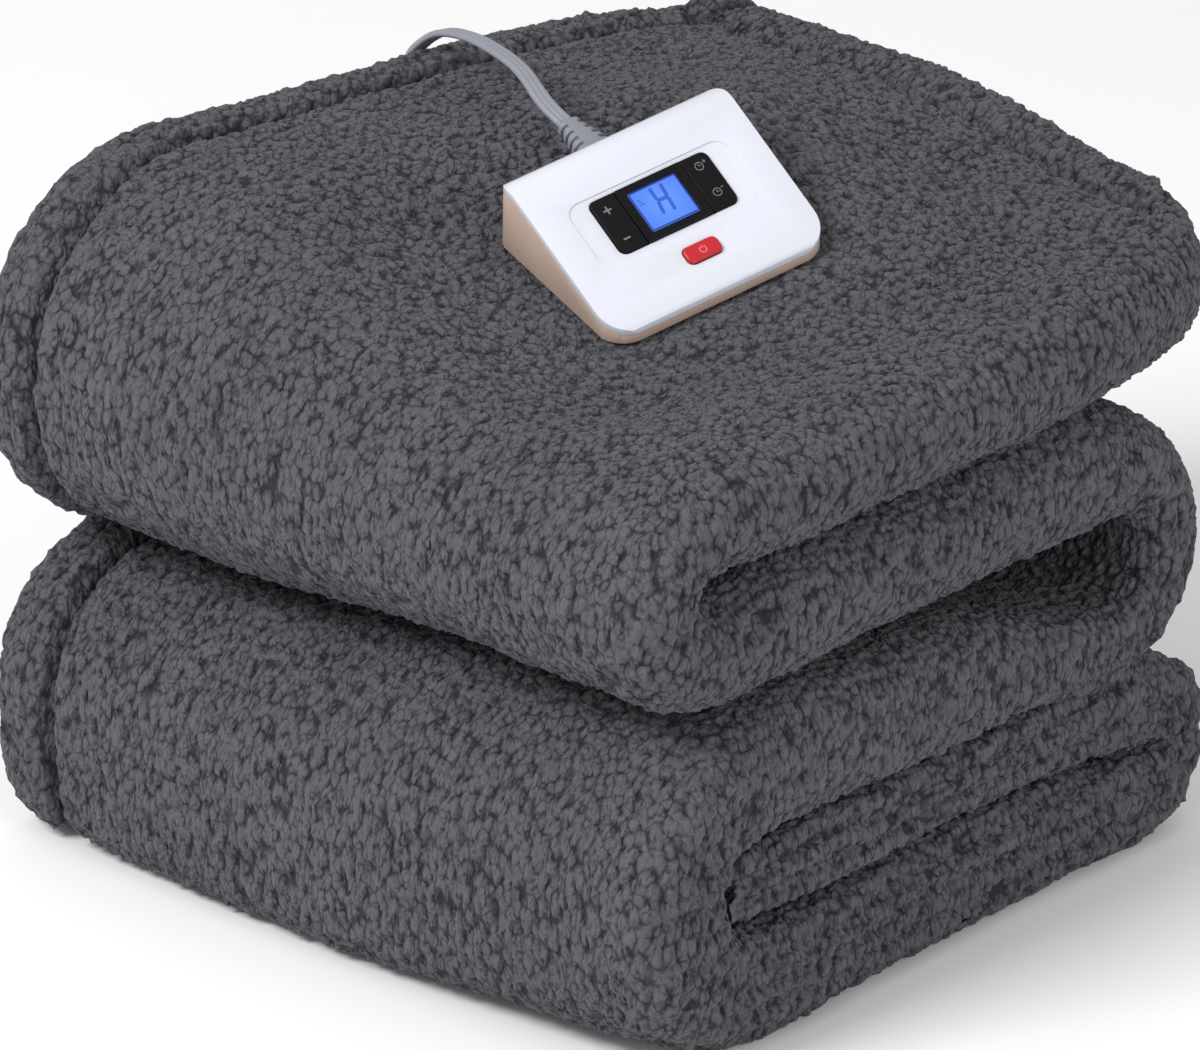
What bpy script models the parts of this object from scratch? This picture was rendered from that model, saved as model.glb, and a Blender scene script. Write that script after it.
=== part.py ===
"""Folded electric heated blanket with its controller and cord, as closed solids in metres, +Z up.

The origin is at the bottom centre of the folded stack.  +X runs along the face that shows the layers, which
looks to -Y.  The rounded folds look to -X and the long hem is at the +Y side.
"""

import math
from typing import NamedTuple

import bmesh
import bpy
from mathutils import Matrix, Vector

MM = 0.001
CLEARANCE = 0.3 * MM

# --- blanket: one strip, three plies thick, folded to and fro -------------------------------------
STACK_SHIFT = Vector((-25.3 * MM, 0.25 * MM, 0.0))
HALF_DEPTH = 180.0
BLEND_FROM, BLEND_TO = -115.0, 75.0
BLEND_SKEW = 0.22
PLY_GAP = 2.0
ROLL_STEPS = 7
HEM_STEPS = 2
FACE_STATIONS = (-118.0, -78.0, -38.0, 2.0, 42.0, 82.0, 125.0)
INNER_STATIONS = (-112.0, -20.0, 75.0)
TURN_STEPS = 6


class Place(NamedTuple):
    """One cross-section of the strip, in millimetres: its front edge at -Y and its back edge at +Y."""

    front_x: float
    front_y: float
    front_z: float
    front_t: float
    back_x: float
    back_y: float
    back_z: float
    back_t: float


FLAP = (
    Place(210, -128, 227.5, 49, 214, 126, 235.5, 55),
    Place(203, -139, 227.5, 51, 207, 129, 237, 58),
    Place(178, -160, 227.5, 52, 180, 134, 239, 64),
    Place(134, -173, 227.5, 51, 140, 141, 242, 72),
    Place(60, -181, 226.5, 48, 62, 151, 244.5, 80),
    Place(-20, -180, 225, 46, -20, 164, 245, 82),
    Place(-80, -179, 224, 45, -65, 174, 245, 82),
    Place(-118, -176, 223, 43, -93, 180, 244, 81),
)
SECOND = (
    Place(-118, -176, 170, 44, -93, 182, 165, 71),
    Place(-80, -178, 172, 52, -60, 181, 165, 71),
    Place(0, -177, 172.5, 54, 0, 180, 165, 70),
    Place(70, -178, 172.5, 54, 70, 180, 167, 66),
    Place(115, -178, 172, 53, 113, 180, 170, 58),
)
THIRD = (
    Place(117, -176, 96.5, 30, 113, 180, 95, 34),
    Place(75, -178, 102, 36, 70, 180, 102, 50),
    Place(25, -179, 110, 50, 10, 180, 103, 50),
    Place(-40, -180, 113.5, 56, -40, 180, 102, 48),
    Place(-95, -179, 114, 55, -103, 180, 101, 46),
)
BOTTOM = (
    Place(-95, -179, 23.5, 47, -103, 180, 22.5, 45),
    Place(-40, -178, 23.5, 47, -40, 180, 22.5, 45),
    Place(30, -176, 23.5, 47, 30, 180, 22.5, 45),
    Place(90, -175, 22.5, 45, 90, 180, 22, 44),
    Place(141, -174, 19, 38, 134, 180, 18.5, 37),
)
TAIL = (
    Place(141, -173, 62, 37, 134, 176, 58, 33),
    Place(80, -173, 65, 33, 80, 178, 60, 29),
    Place(0, -174, 66.5, 33, 0, 180, 61, 28),
    Place(-70, -174, 66.5, 32, -60, 178, 61, 27),
    Place(-94, -174, 66.5, 30, -76, 176, 61, 24),
    Place(-106, -172, 66.5, 22, -84, 170, 61, 21),
)
SAG_CENTRE_X = (-95.0, -103.0)
SAG_RADIUS = (69.5, 62.0)
SAG_POWER = 6.0
SAG_MIDDLE, SAG_REACH = 50.0, 225.0
REST_SNAP = 1.2
LEFT, RIGHT = -1.0, 1.0
UPPER_TURN = (LEFT, 43.0, 76.0)
LOOP_TURN = (RIGHT, 30.0, 34.0)
LOWER_TURN = (LEFT, 50.0, 45.0)
TAIL_TURN = (RIGHT, 35.0, 34.0)
END_SQUEEZE = (0.5, 0.9)

UPPER_PART = 0.4
PRESS_FLAT = 8.0 * MM
PRESS_REACH = 70.0 * MM
PRESS_DEPTH = 30.0 * MM
PRINT_OVER = 0.3 * MM
PRINT_MARGIN = 0.5 * MM
PRINT_TOP = 45.0 * MM

# --- controller: a wedge with a pale cover on a beige base ----------------------------------------
CONTROLLER_AT = Vector((-21.1, -29.65, 265.5)) * MM
CONTROLLER_TURN = math.radians(-10.0)
CONTROLLER_TILT = math.radians(15.5)
CONTROLLER_ROLL = math.radians(-10.5)
BODY_WIDTH = 106.0 * MM
BODY_DEPTH = 84.0 * MM
PLAN_RADIUS = 13.0 * MM
BASE_LIP = 4.0 * MM
FACE_SLOPE = math.radians(20.0)
FRONT_RISE = 6.4 * MM
FRONT_RADIUS = 3.2 * MM
CREST_RADIUS = 12.0 * MM
BACK_LEAN = 2.0 * MM
COVER_WALL = 2.6 * MM
SIDE_INSET = 0.6 * MM
EDGE_ROUND = 0.7 * MM

FACE_CENTRE_Y = -0.9 * MM
STRIP_WIDTH = 57.5 * MM
STRIP_DEPTH = 26.5 * MM
STRIP_RADIUS = 3.5 * MM
STRIP_PROUD = 0.7 * MM
PLATE_CORNER = 0.4 * MM
KEY_WIDTH = 13.0 * MM
KEY_FLOAT = 0.9 * MM
WINDOW_WIDTH = 23.0 * MM
WINDOW_DEPTH = 19.0 * MM
WINDOW_SINK = 0.5 * MM
WINDOW_RADIUS = 0.6 * MM
WINDOW_FLOOR = -1.4 * MM
WELL_TOP = 3.0 * MM
BUTTON_WIDTH = 17.0 * MM
BUTTON_DEPTH = 8.4 * MM
BUTTON_RADIUS = 3.0 * MM
BUTTON_PROUD = 1.5 * MM
BUTTON_FLOAT = 1.3 * MM
BUTTON_ROUND = 0.5 * MM
BUTTON_OFFSET = Vector((1.5 * MM, -25.4 * MM))
MOVING_GAP = 0.4 * MM

# --- cord -----------------------------------------------------------------------------------------
BOOT_X = -1.0 * MM
BOOT_Z = 16.5 * MM
BOOT_LENGTH = 20.0 * MM
BOOT_RISE = math.radians(3.0)
BOOT_WIDE, BOOT_NARROW = 8.2 * MM, 5.0 * MM
BOOT_THICK, BOOT_THIN = 5.4 * MM, 3.8 * MM
BOOT_SIDES = 20
RIB_COUNT = 4
RIB_PITCH = 3.0 * MM
RIB_DEPTH = 0.9 * MM

CORD_DIAMETER = 6.0 * MM
CORD_STEP = 15.0 * MM
CORD_ROUTE = (
    (-15.55, 25.9, 298.67),
    (-13.2, 39.95, 303.4),
    (-4.8, 60.9, 309.8),
    (4.2, 87.1, 310.2),
    (12.2, 108.0, 306.8),
    (19.2, 126.3, 300.9),
    (26.7, 143.2, 290.4),
    (32.7, 156.4, 278.4),
    (35.2, 164.6, 260.0),
    (36.2, 172.0, 238.0),
    (36.2, 182.0, 213.0),
    (35.2, 189.0, 188.0),
    (33.7, 192.0, 150.0),
    (31.7, 192.8, 95.0),
    (29.2, 192.8, 45.0),
    (23.2, 193.2, 16.0),
    (10.2, 194.0, 5.2),
    (-8.3, 195.6, 3.6),
    (-24.4, 202.25, 3.6),
)
COIL_CENTRE = Vector((-1.2, 250.85)) * MM
COIL_INNER = 30.5 * MM
COIL_OUTER = 50.5 * MM
COIL_HEIGHT = 7.8 * MM
COIL_SIDES = 48
END_STEP = 8.0 * MM
END_ROUTE = (
    (-28.2, 246.85, 3.6),
    (-27.8, 253.05, 3.6),
    (-25.8, 261.05, 3.7),
    (-21.2, 268.05, 3.9),
    (-13.2, 271.35, 4.2),
    (-5.2, 269.1, 4.5),
    (-1.5, 264.2, 4.7),
    (-1.2, 256.1, 4.8),
)
CONNECTOR_SIZE = Vector((30.0, 15.0, 9.6)) * MM
CONNECTOR_TURN = math.radians(-90.0)
CONNECTOR_ROUND = 1.6 * MM


def clear_scene():
    """Takes away whatever the open file holds."""
    for item in list(bpy.data.objects):
        bpy.data.objects.remove(item, do_unlink=True)


def material(name, colour, roughness, metallic=0.0):
    """A Principled material; colour is linear red, green and blue."""
    made = bpy.data.materials.new(name)
    made.use_nodes = True
    shader = made.node_tree.nodes["Principled BSDF"]
    shader.inputs["Base Color"].default_value = (*colour, 1.0)
    shader.inputs["Roughness"].default_value = roughness
    shader.inputs["Metallic"].default_value = metallic
    return made


def new_object(name, bm, surface, smooth_angle=40.0):
    """Links the bmesh as a named object with its faces pointing out."""
    bmesh.ops.recalc_face_normals(bm, faces=bm.faces)
    mesh = bpy.data.meshes.new(name)
    bm.to_mesh(mesh)
    bm.free()
    mesh.shade_smooth()
    mesh.set_sharp_from_angle(angle=math.radians(smooth_angle))
    made = bpy.data.objects.new(name, mesh)
    if surface is not None:
        made.data.materials.append(surface)
    bpy.context.scene.collection.objects.link(made)
    return made


def smooth_step(value):
    """0 to 1 with level ends."""
    value = min(max(value, 0.0), 1.0)
    return value * value * (3.0 - 2.0 * value)


def catmull_rom(points, per_span):
    """A smooth curve through the points, with per_span steps between each pair."""
    padded = [points[0] * 2 - points[1], *points, points[-1] * 2 - points[-2]]
    curve = []
    for before, start, end, after in zip(padded, padded[1:], padded[2:], padded[3:]):
        for step in range(per_span):
            t = step / per_span
            first = -0.5 * t**3 + t**2 - 0.5 * t
            second = 1.5 * t**3 - 2.5 * t**2 + 1.0
            third = -1.5 * t**3 + 2.0 * t**2 + 0.5 * t
            fourth = 0.5 * t**3 - 0.5 * t**2
            curve.append(before * first + start * second + end * third + after * fourth)
    curve.append(points[-1].copy())
    return curve


# --- blanket --------------------------------------------------------------------------------------


def back_share(x, y):
    """How far a place on the strip has gone from its front shape to its back shape."""
    return smooth_step((y + BLEND_SKEW * x - BLEND_FROM) / (BLEND_TO - BLEND_FROM))


def turn_places(start, end, turn):
    """The rounded fold between two panels, as places along two half circles, front and back."""
    side, front_middle, back_middle = turn
    places = []
    for step in range(1, TURN_STEPS):
        angle = math.pi * step / TURN_STEPS
        share = (1.0 - math.cos(angle)) / 2.0
        bulge = side * math.sin(angle)
        mixed = [a + (b - a) * share for a, b in zip(start, end)]
        place = Place(*mixed)
        front_x = place.front_x + bulge * abs(start.front_z - end.front_z) / 2.0
        back_x = place.back_x + bulge * abs(start.back_z - end.back_z) / 2.0
        swell = math.sin(angle)
        front_t = place.front_t + (front_middle - place.front_t) * swell
        back_t = place.back_t + (back_middle - place.back_t) * swell
        places.append(place._replace(front_x=front_x, back_x=back_x, front_t=front_t, back_t=back_t))
    return places


def strip_places():
    """Every place along the strip, from the hem on the flap to the end tucked inside."""
    places = list(FLAP)
    for turn, panel in ((UPPER_TURN, SECOND), (LOOP_TURN, THIRD), (LOWER_TURN, BOTTOM), (TAIL_TURN, TAIL)):
        places += turn_places(places[-1], panel[0], turn)
        places += panel
    return places


def section_outline(place, squeeze):
    """The cross-section as a closed list of (y, height over the middle): three plies joined by two rolls.

    The upper ply ends in the hem at +Y.  The big roll at -Y joins it to the lower ply, and the roll at +Y
    turns the lower ply back inside as the middle one.
    """
    front, back = place.front_t, place.back_t
    middle_x = (place.front_x + place.back_x) / 2.0

    def thickness(y):
        return front + (back - front) * back_share(middle_x, y)

    def ply(y):
        return (thickness(y) - 2.0 * PLY_GAP) / 3.0

    def trimmed(y):
        return ply(y) * (1.0 - squeeze) / 2.0

    def top(y):
        return y, thickness(y) / 2.0 - trimmed(y)

    def under_top(y):
        return y, thickness(y) / 2.0 - ply(y) + trimmed(y)

    def over_middle(y):
        return y, ply(y) / 2.0 - trimmed(y)

    def under_middle(y):
        return y, -ply(y) / 2.0 + trimmed(y)

    def over_low(y):
        return y, -thickness(y) / 2.0 + ply(y) - trimmed(y)

    def low(y):
        return y, -thickness(y) / 2.0 + trimmed(y)

    def arc(centre_y, centre_n, radius_y, radius_n, first, last, steps):
        turns = (first + (last - first) * k / steps for k in range(steps + 1))
        return [(centre_y + radius_y * math.cos(a), centre_n + radius_n * math.sin(a)) for a in turns]

    quarter = math.pi / 2.0
    front_ply, back_ply = ply(-HALF_DEPTH), ply(HALF_DEPTH)
    front_trim, back_trim = trimmed(-HALF_DEPTH), trimmed(HALF_DEPTH)
    roll_y = -HALF_DEPTH + front / 2.0
    fold_outer = back_ply + PLY_GAP / 2.0
    fold_y = HALF_DEPTH - fold_outer - 1.0
    fold_n = -back / 2.0 + fold_outer
    hem_y = HALF_DEPTH - back_ply / 2.0
    tip_y = roll_y + 2.0
    half_ply = back_ply / 2.0 - back_trim

    outline = arc(hem_y, back / 2.0 - back_ply / 2.0, half_ply, half_ply, -quarter, quarter, HEM_STEPS + 1)
    outline += [top(y) for y in reversed(FACE_STATIONS)]
    outer = front / 2.0 - front_trim
    outline += arc(roll_y, 0.0, outer, outer, quarter, 3.0 * quarter, ROLL_STEPS)
    outline += [low(y) for y in FACE_STATIONS]
    outer = fold_outer - back_trim
    outline += arc(fold_y, fold_n, outer, outer, -quarter, quarter, 5)
    outline += [over_middle(y) for y in reversed(INNER_STATIONS)]
    tip = front_ply / 2.0 - front_trim
    outline += arc(tip_y, 0.0, tip, tip, quarter, 3.0 * quarter, 3)
    outline += [under_middle(y) for y in INNER_STATIONS]
    inner = PLY_GAP / 2.0 + back_trim
    outline += arc(fold_y, fold_n, inner, inner, quarter, -quarter, 2)
    outline += [over_low(y) for y in reversed(INNER_STATIONS)]
    inner = front_ply / 2.0 + PLY_GAP + front_trim
    outline += arc(roll_y, 0.0, inner, inner, 3.0 * quarter, quarter, 5)
    outline += [under_top(y) for y in INNER_STATIONS]
    return outline


def rested(z):
    """Lays what comes near the surface flat on it."""
    return 0.0 if z < REST_SNAP else z


def sagged(x, y, z):
    """Squares off the lowest fold where the stack's weight presses on it, most at its middle."""
    share = back_share(x, y)
    centre_x = SAG_CENTRE_X[0] + (SAG_CENTRE_X[1] - SAG_CENTRE_X[0]) * share
    radius = SAG_RADIUS[0] + (SAG_RADIUS[1] - SAG_RADIUS[0]) * share
    out, down = centre_x - x, radius - z
    if out <= 0.0 or down <= 0.0:
        return x, rested(z)
    reach = math.hypot(out, down)
    squared = ((out / reach) ** SAG_POWER + (down / reach) ** SAG_POWER) ** (-1.0 / SAG_POWER)
    strength = max(0.0, 1.0 - ((y - SAG_MIDDLE) / SAG_REACH) ** 2)
    factor = 1.0 + (squared - 1.0) * strength
    return centre_x - out * factor, rested(radius - down * factor)


def pressed(point):
    """Brings the top cloth under and round the controller to the plane of its base."""
    frame = controller_matrix()
    flat = frame.inverted() @ point
    normal = frame.col[2].to_3d()
    out_x = max(abs(flat.x) - BODY_WIDTH / 2.0, 0.0)
    out_y = max(abs(flat.y) - BODY_DEPTH / 2.0, 0.0)
    strength = 1.0 - smooth_step((math.hypot(out_x, out_y) - PRESS_FLAT) / PRESS_REACH)
    if strength <= 0.0 or abs(flat.z) > PRESS_DEPTH:
        return point
    drop = (flat.z - PRINT_OVER) / normal.z
    return point - Vector((0.0, 0.0, drop * strength))


def section_points(place, before, after, squeeze):
    """The cross-section's corners in world space, square to the strip."""

    def facing(x_before, z_before, x_after, z_after):
        along = Vector((x_after - x_before, z_after - z_before)).normalized()
        return Vector((along.y, -along.x))

    front_normal = facing(before.front_x, before.front_z, after.front_x, after.front_z)
    back_normal = facing(before.back_x, before.back_z, after.back_x, after.back_z)
    points = []
    for y, height in section_outline(place, squeeze):
        share = back_share((place.front_x + place.back_x) / 2.0, y)
        normal = front_normal.lerp(back_normal, share).normalized()
        x = place.front_x + (place.back_x - place.front_x) * share
        z = place.front_z + (place.back_z - place.front_z) * share
        across = (y + HALF_DEPTH) / (2.0 * HALF_DEPTH)
        moved_y = place.front_y + (place.back_y - place.front_y) * across
        x, z = sagged(x + normal.x * height, moved_y, z + normal.y * height)
        point = Vector((x, moved_y, z)) * MM + STACK_SHIFT
        thickness = place.front_t + (place.back_t - place.front_t) * share
        points.append(pressed(point) if height > UPPER_PART * thickness else point)
    return points


def build_blanket(parent):
    """The folded strip as one closed solid, with the controller's print in its top."""
    places = strip_places()
    squeezes = [1.0] * len(places)
    for index, squeeze in enumerate(END_SQUEEZE):
        squeezes[index] = squeeze
        squeezes[-1 - index] = squeeze
    befores = [places[0], *places[:-1]]
    afters = [*places[1:], places[-1]]
    bm = bmesh.new()
    rings = []
    for place, before, after, squeeze in zip(places, befores, afters, squeezes):
        rings.append([bm.verts.new(point) for point in section_points(place, before, after, squeeze)])
    count = len(rings[0])
    for ring, following in zip(rings, rings[1:]):
        for index in range(count):
            other = (index + 1) % count
            bm.faces.new((ring[index], ring[other], following[other], following[index]))
    bm.faces.new(rings[0])
    bm.faces.new(reversed(rings[-1]))
    cloth = material("dark grey sherpa fleece", (0.105, 0.107, 0.118), 0.95)
    blanket = new_object("blanket", bm, cloth, smooth_angle=60.0)
    margin = 2.0 * PRINT_MARGIN
    outline = (BODY_WIDTH + margin, BODY_DEPTH + margin, PLAN_RADIUS + PRINT_MARGIN)
    footprint = rounded_plate(*outline, -CLEARANCE, PRINT_TOP)
    boolean(blanket, cutter("footprint", footprint, parent), "DIFFERENCE")


# --- controller -----------------------------------------------------------------------------------


def filleted(corners, radii, steps=5):
    """An open outline through the corners, with each inner corner rounded by its radius."""
    outline = [corners[0]]
    for before, corner, after, radius in zip(corners, corners[1:], corners[2:], radii):
        to_before = (before - corner).normalized()
        to_after = (after - corner).normalized()
        half = to_before.angle(to_after) / 2.0
        centre = corner + (to_before + to_after).normalized() * (radius / math.sin(half))
        spoke = corner + to_before * (radius / math.tan(half)) - centre
        sweep = math.copysign(math.pi - 2.0 * half, to_after.cross(to_before))
        for step in range(steps + 1):
            outline.append(centre + Matrix.Rotation(sweep * step / steps, 2) @ spoke)
    outline.append(corners[-1])
    return outline


def face_height(y):
    """Height of the cover's sloping face over the controller's base."""
    return FRONT_RISE + (y + BODY_DEPTH / 2.0) * math.tan(FACE_SLOPE)


def body_outline(inset, lip):
    """The wedge's outline over its lip, seen from the side, moved in by the inset."""
    front = -BODY_DEPTH / 2.0 + inset
    back = BODY_DEPTH / 2.0 - inset
    drop = inset / math.cos(FACE_SLOPE)
    crest = back - BACK_LEAN
    corners = (
        Vector((front, lip)),
        Vector((front, face_height(front) - drop)),
        Vector((crest, face_height(crest) - drop)),
        Vector((back, lip)),
    )
    return filleted(corners, (FRONT_RADIUS - inset, CREST_RADIUS - inset))


def extruded(outline, half_width):
    """A bmesh of the closed (y, z) outline, extruded along X to both sides."""
    bm = bmesh.new()
    near = [bm.verts.new((-half_width, point.x, point.y)) for point in outline]
    far = [bm.verts.new((half_width, point.x, point.y)) for point in outline]
    count = len(outline)
    for index in range(count):
        other = (index + 1) % count
        bm.faces.new((near[index], near[other], far[other], far[index]))
    bm.faces.new(near)
    bm.faces.new(reversed(far))
    return bm


def rounded_plate(width, depth, radius, low, high, steps=6):
    """A bmesh of an upright plate with a rounded rectangular outline."""
    outline = []
    for quarter in range(4):
        sign_x = (1, -1, -1, 1)[quarter]
        sign_y = (1, 1, -1, -1)[quarter]
        centre = Vector((sign_x * (width / 2.0 - radius), sign_y * (depth / 2.0 - radius)))
        for step in range(steps + 1):
            angle = math.pi / 2.0 * (quarter + step / steps)
            outline.append(centre + Vector((math.cos(angle), math.sin(angle))) * radius)
    bm = bmesh.new()
    bottom = [bm.verts.new((point.x, point.y, low)) for point in outline]
    top = [bm.verts.new((point.x, point.y, high)) for point in outline]
    count = len(outline)
    for index in range(count):
        other = (index + 1) % count
        bm.faces.new((bottom[index], bottom[other], top[other], top[index]))
    bm.faces.new(reversed(bottom))
    bm.faces.new(top)
    return bm


def cutter(name, bm, parent):
    """A hidden guide that a Boolean reads."""
    made = new_object(name, bm, None)
    made.hide_render = True
    made.display_type = "WIRE"
    made.parent = parent
    return made


def boolean(target, tool, operation):
    """Adds a live exact Boolean."""
    modifier = target.modifiers.new(tool.name, "BOOLEAN")
    modifier.operation = operation
    modifier.solver = "EXACT"
    modifier.object = tool


def round_edges(target, width, segments=2, angle=40.0):
    """Adds a live Bevel on the sharp edges."""
    modifier = target.modifiers.new("edge rounding", "BEVEL")
    modifier.width = width
    modifier.segments = segments
    modifier.limit_method = "ANGLE"
    modifier.angle_limit = math.radians(angle)
    modifier.harden_normals = False


def controller_matrix():
    """Where the controller lies: turned, tilted up at the back and rolled up at the +X side."""
    turn = Matrix.Rotation(CONTROLLER_TURN, 4, "Z")
    tilt = Matrix.Rotation(CONTROLLER_TILT, 4, "X")
    roll = Matrix.Rotation(CONTROLLER_ROLL, 4, "Y")
    return Matrix.Translation(CONTROLLER_AT) @ turn @ tilt @ roll


def controller_frame():
    """The empty that carries the controller, tilted as it lies on the cloth."""
    frame = bpy.data.objects.new("controller_frame", None)
    frame.matrix_world = controller_matrix()
    bpy.context.scene.collection.objects.link(frame)
    return frame


def face_frame(parent):
    """The empty on the sloping face, with its Z square to the face."""
    frame = bpy.data.objects.new("face_frame", None)
    frame.parent = parent
    frame.location = (0.0, FACE_CENTRE_Y, face_height(FACE_CENTRE_Y))
    frame.rotation_euler = (FACE_SLOPE, 0.0, 0.0)
    bpy.context.scene.collection.objects.link(frame)
    return frame


def build_shells(parent, face):
    """The beige base and the pale cover over it, with the cover's two cut-outs."""
    beige = material("beige moulded plastic", (0.62, 0.46, 0.38), 0.38)
    white = material("white glossy plastic", (0.82, 0.83, 0.90), 0.16)
    plan = rounded_plate(BODY_WIDTH, BODY_DEPTH, PLAN_RADIUS, -10.0 * MM, 60.0 * MM)
    plan_guide = cutter("plan_guide", plan, parent)

    base_outline = [
        Vector((-BODY_DEPTH / 2.0, 0.0)),
        Vector((-BODY_DEPTH / 2.0, BASE_LIP - CLEARANCE)),
        *body_outline(COVER_WALL + CLEARANCE, BASE_LIP - CLEARANCE),
        Vector((BODY_DEPTH / 2.0, BASE_LIP - CLEARANCE)),
        Vector((BODY_DEPTH / 2.0, 0.0)),
    ]
    base = new_object("controller_base", extruded(base_outline, BODY_WIDTH / 2.0 - SIDE_INSET), beige)
    base.parent = parent
    boolean(base, plan_guide, "INTERSECT")

    cover_outline = body_outline(0.0, BASE_LIP) + list(reversed(body_outline(COVER_WALL, BASE_LIP)))
    cover = new_object("controller_cover", extruded(cover_outline, BODY_WIDTH / 2.0 + 1.0 * MM), white)
    cover.parent = parent
    boolean(cover, plan_guide, "INTERSECT")

    well = rounded_plate(STRIP_WIDTH, STRIP_DEPTH, STRIP_RADIUS, -8.0 * MM, 8.0 * MM)
    boolean(cover, cutter("strip_well", well, face), "DIFFERENCE")
    hole = rounded_plate(BUTTON_WIDTH, BUTTON_DEPTH, BUTTON_RADIUS, -8.0 * MM, 8.0 * MM)
    bmesh.ops.translate(hole, verts=hole.verts, vec=(BUTTON_OFFSET.x, BUTTON_OFFSET.y, 0.0))
    boolean(cover, cutter("button_hole", hole, face), "DIFFERENCE")
    round_edges(cover, EDGE_ROUND)


def strip_piece(name, left, right, bottom, top, surface, face, radius_left, radius_right):
    """One plate of the black strip, with its own rounding at the left and right corners."""
    depth = STRIP_DEPTH - 2.0 * MOVING_GAP
    half = depth / 2.0
    outline = []
    corners = (
        (right, half, -1, -1, radius_right, 0),
        (left, half, 1, -1, radius_left, 1),
        (left, -half, 1, 1, radius_left, 2),
        (right, -half, -1, 1, radius_right, 3),
    )
    for x, y, in_x, in_y, radius, quarter in corners:
        centre = Vector((x + in_x * radius, y + in_y * radius))
        for step in range(5):
            angle = math.pi / 2.0 * (quarter + step / 4.0)
            outline.append(centre + Vector((math.cos(angle), math.sin(angle))) * radius)
    bm = bmesh.new()
    lower = [bm.verts.new((point.x, point.y, bottom)) for point in outline]
    upper = [bm.verts.new((point.x, point.y, top)) for point in outline]
    count = len(outline)
    for index in range(count):
        other = (index + 1) % count
        bm.faces.new((lower[index], lower[other], upper[other], upper[index]))
    bm.faces.new(reversed(lower))
    bm.faces.new(upper)
    made = new_object(name, bm, surface)
    made.parent = face
    return made


def build_face_pieces(face):
    """The display with its window, the two rocker keys and the power button, in the cover's cut-outs."""
    black = material("black key plastic", (0.018, 0.019, 0.020), 0.34)
    gloss = material("black display bezel", (0.006, 0.006, 0.008), 0.08)
    blue = material("lit display glass", (0.13, 0.30, 0.93), 0.12)
    red = material("red button plastic", (0.66, 0.03, 0.045), 0.30)
    floor = -COVER_WALL - CLEARANCE
    half_strip = STRIP_WIDTH / 2.0 - MOVING_GAP
    half_middle = STRIP_WIDTH / 2.0 - KEY_WIDTH
    corner = STRIP_RADIUS - MOVING_GAP
    small = PLATE_CORNER

    bezel_span = (-half_middle, half_middle, floor + CLEARANCE, STRIP_PROUD)
    bezel = strip_piece("display_bezel", *bezel_span, gloss, face, small, small)
    outline = (WINDOW_WIDTH + 2 * CLEARANCE, WINDOW_DEPTH + 2 * CLEARANCE, WINDOW_RADIUS + CLEARANCE)
    well = rounded_plate(*outline, WINDOW_FLOOR, WELL_TOP, 2)
    boolean(bezel, cutter("window_well", well, face), "DIFFERENCE")
    outline = (WINDOW_WIDTH, WINDOW_DEPTH, WINDOW_RADIUS)
    window = rounded_plate(*outline, WINDOW_FLOOR + CLEARANCE, STRIP_PROUD - WINDOW_SINK, 2)
    glass = new_object("display_window", window, blue)
    glass.parent = face

    key_floor = floor + KEY_FLOAT
    inner = half_middle + MOVING_GAP
    for name, left, right, radius_left, radius_right in (
        ("level_key", -half_strip, -inner, corner, small),
        ("timer_key", inner, half_strip, small, corner),
    ):
        strip_piece(name, left, right, key_floor, STRIP_PROUD, black, face, radius_left, radius_right)

    size = (BUTTON_WIDTH - 2 * MOVING_GAP, BUTTON_DEPTH - 2 * MOVING_GAP)
    plate = rounded_plate(*size, BUTTON_RADIUS - MOVING_GAP, floor + BUTTON_FLOAT, BUTTON_PROUD, 4)
    button = new_object("power_button", plate, red)
    button.parent = face
    button.location = (BUTTON_OFFSET.x, BUTTON_OFFSET.y, 0.0)
    round_edges(button, BUTTON_ROUND)


# --- cord -----------------------------------------------------------------------------------------


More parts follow.
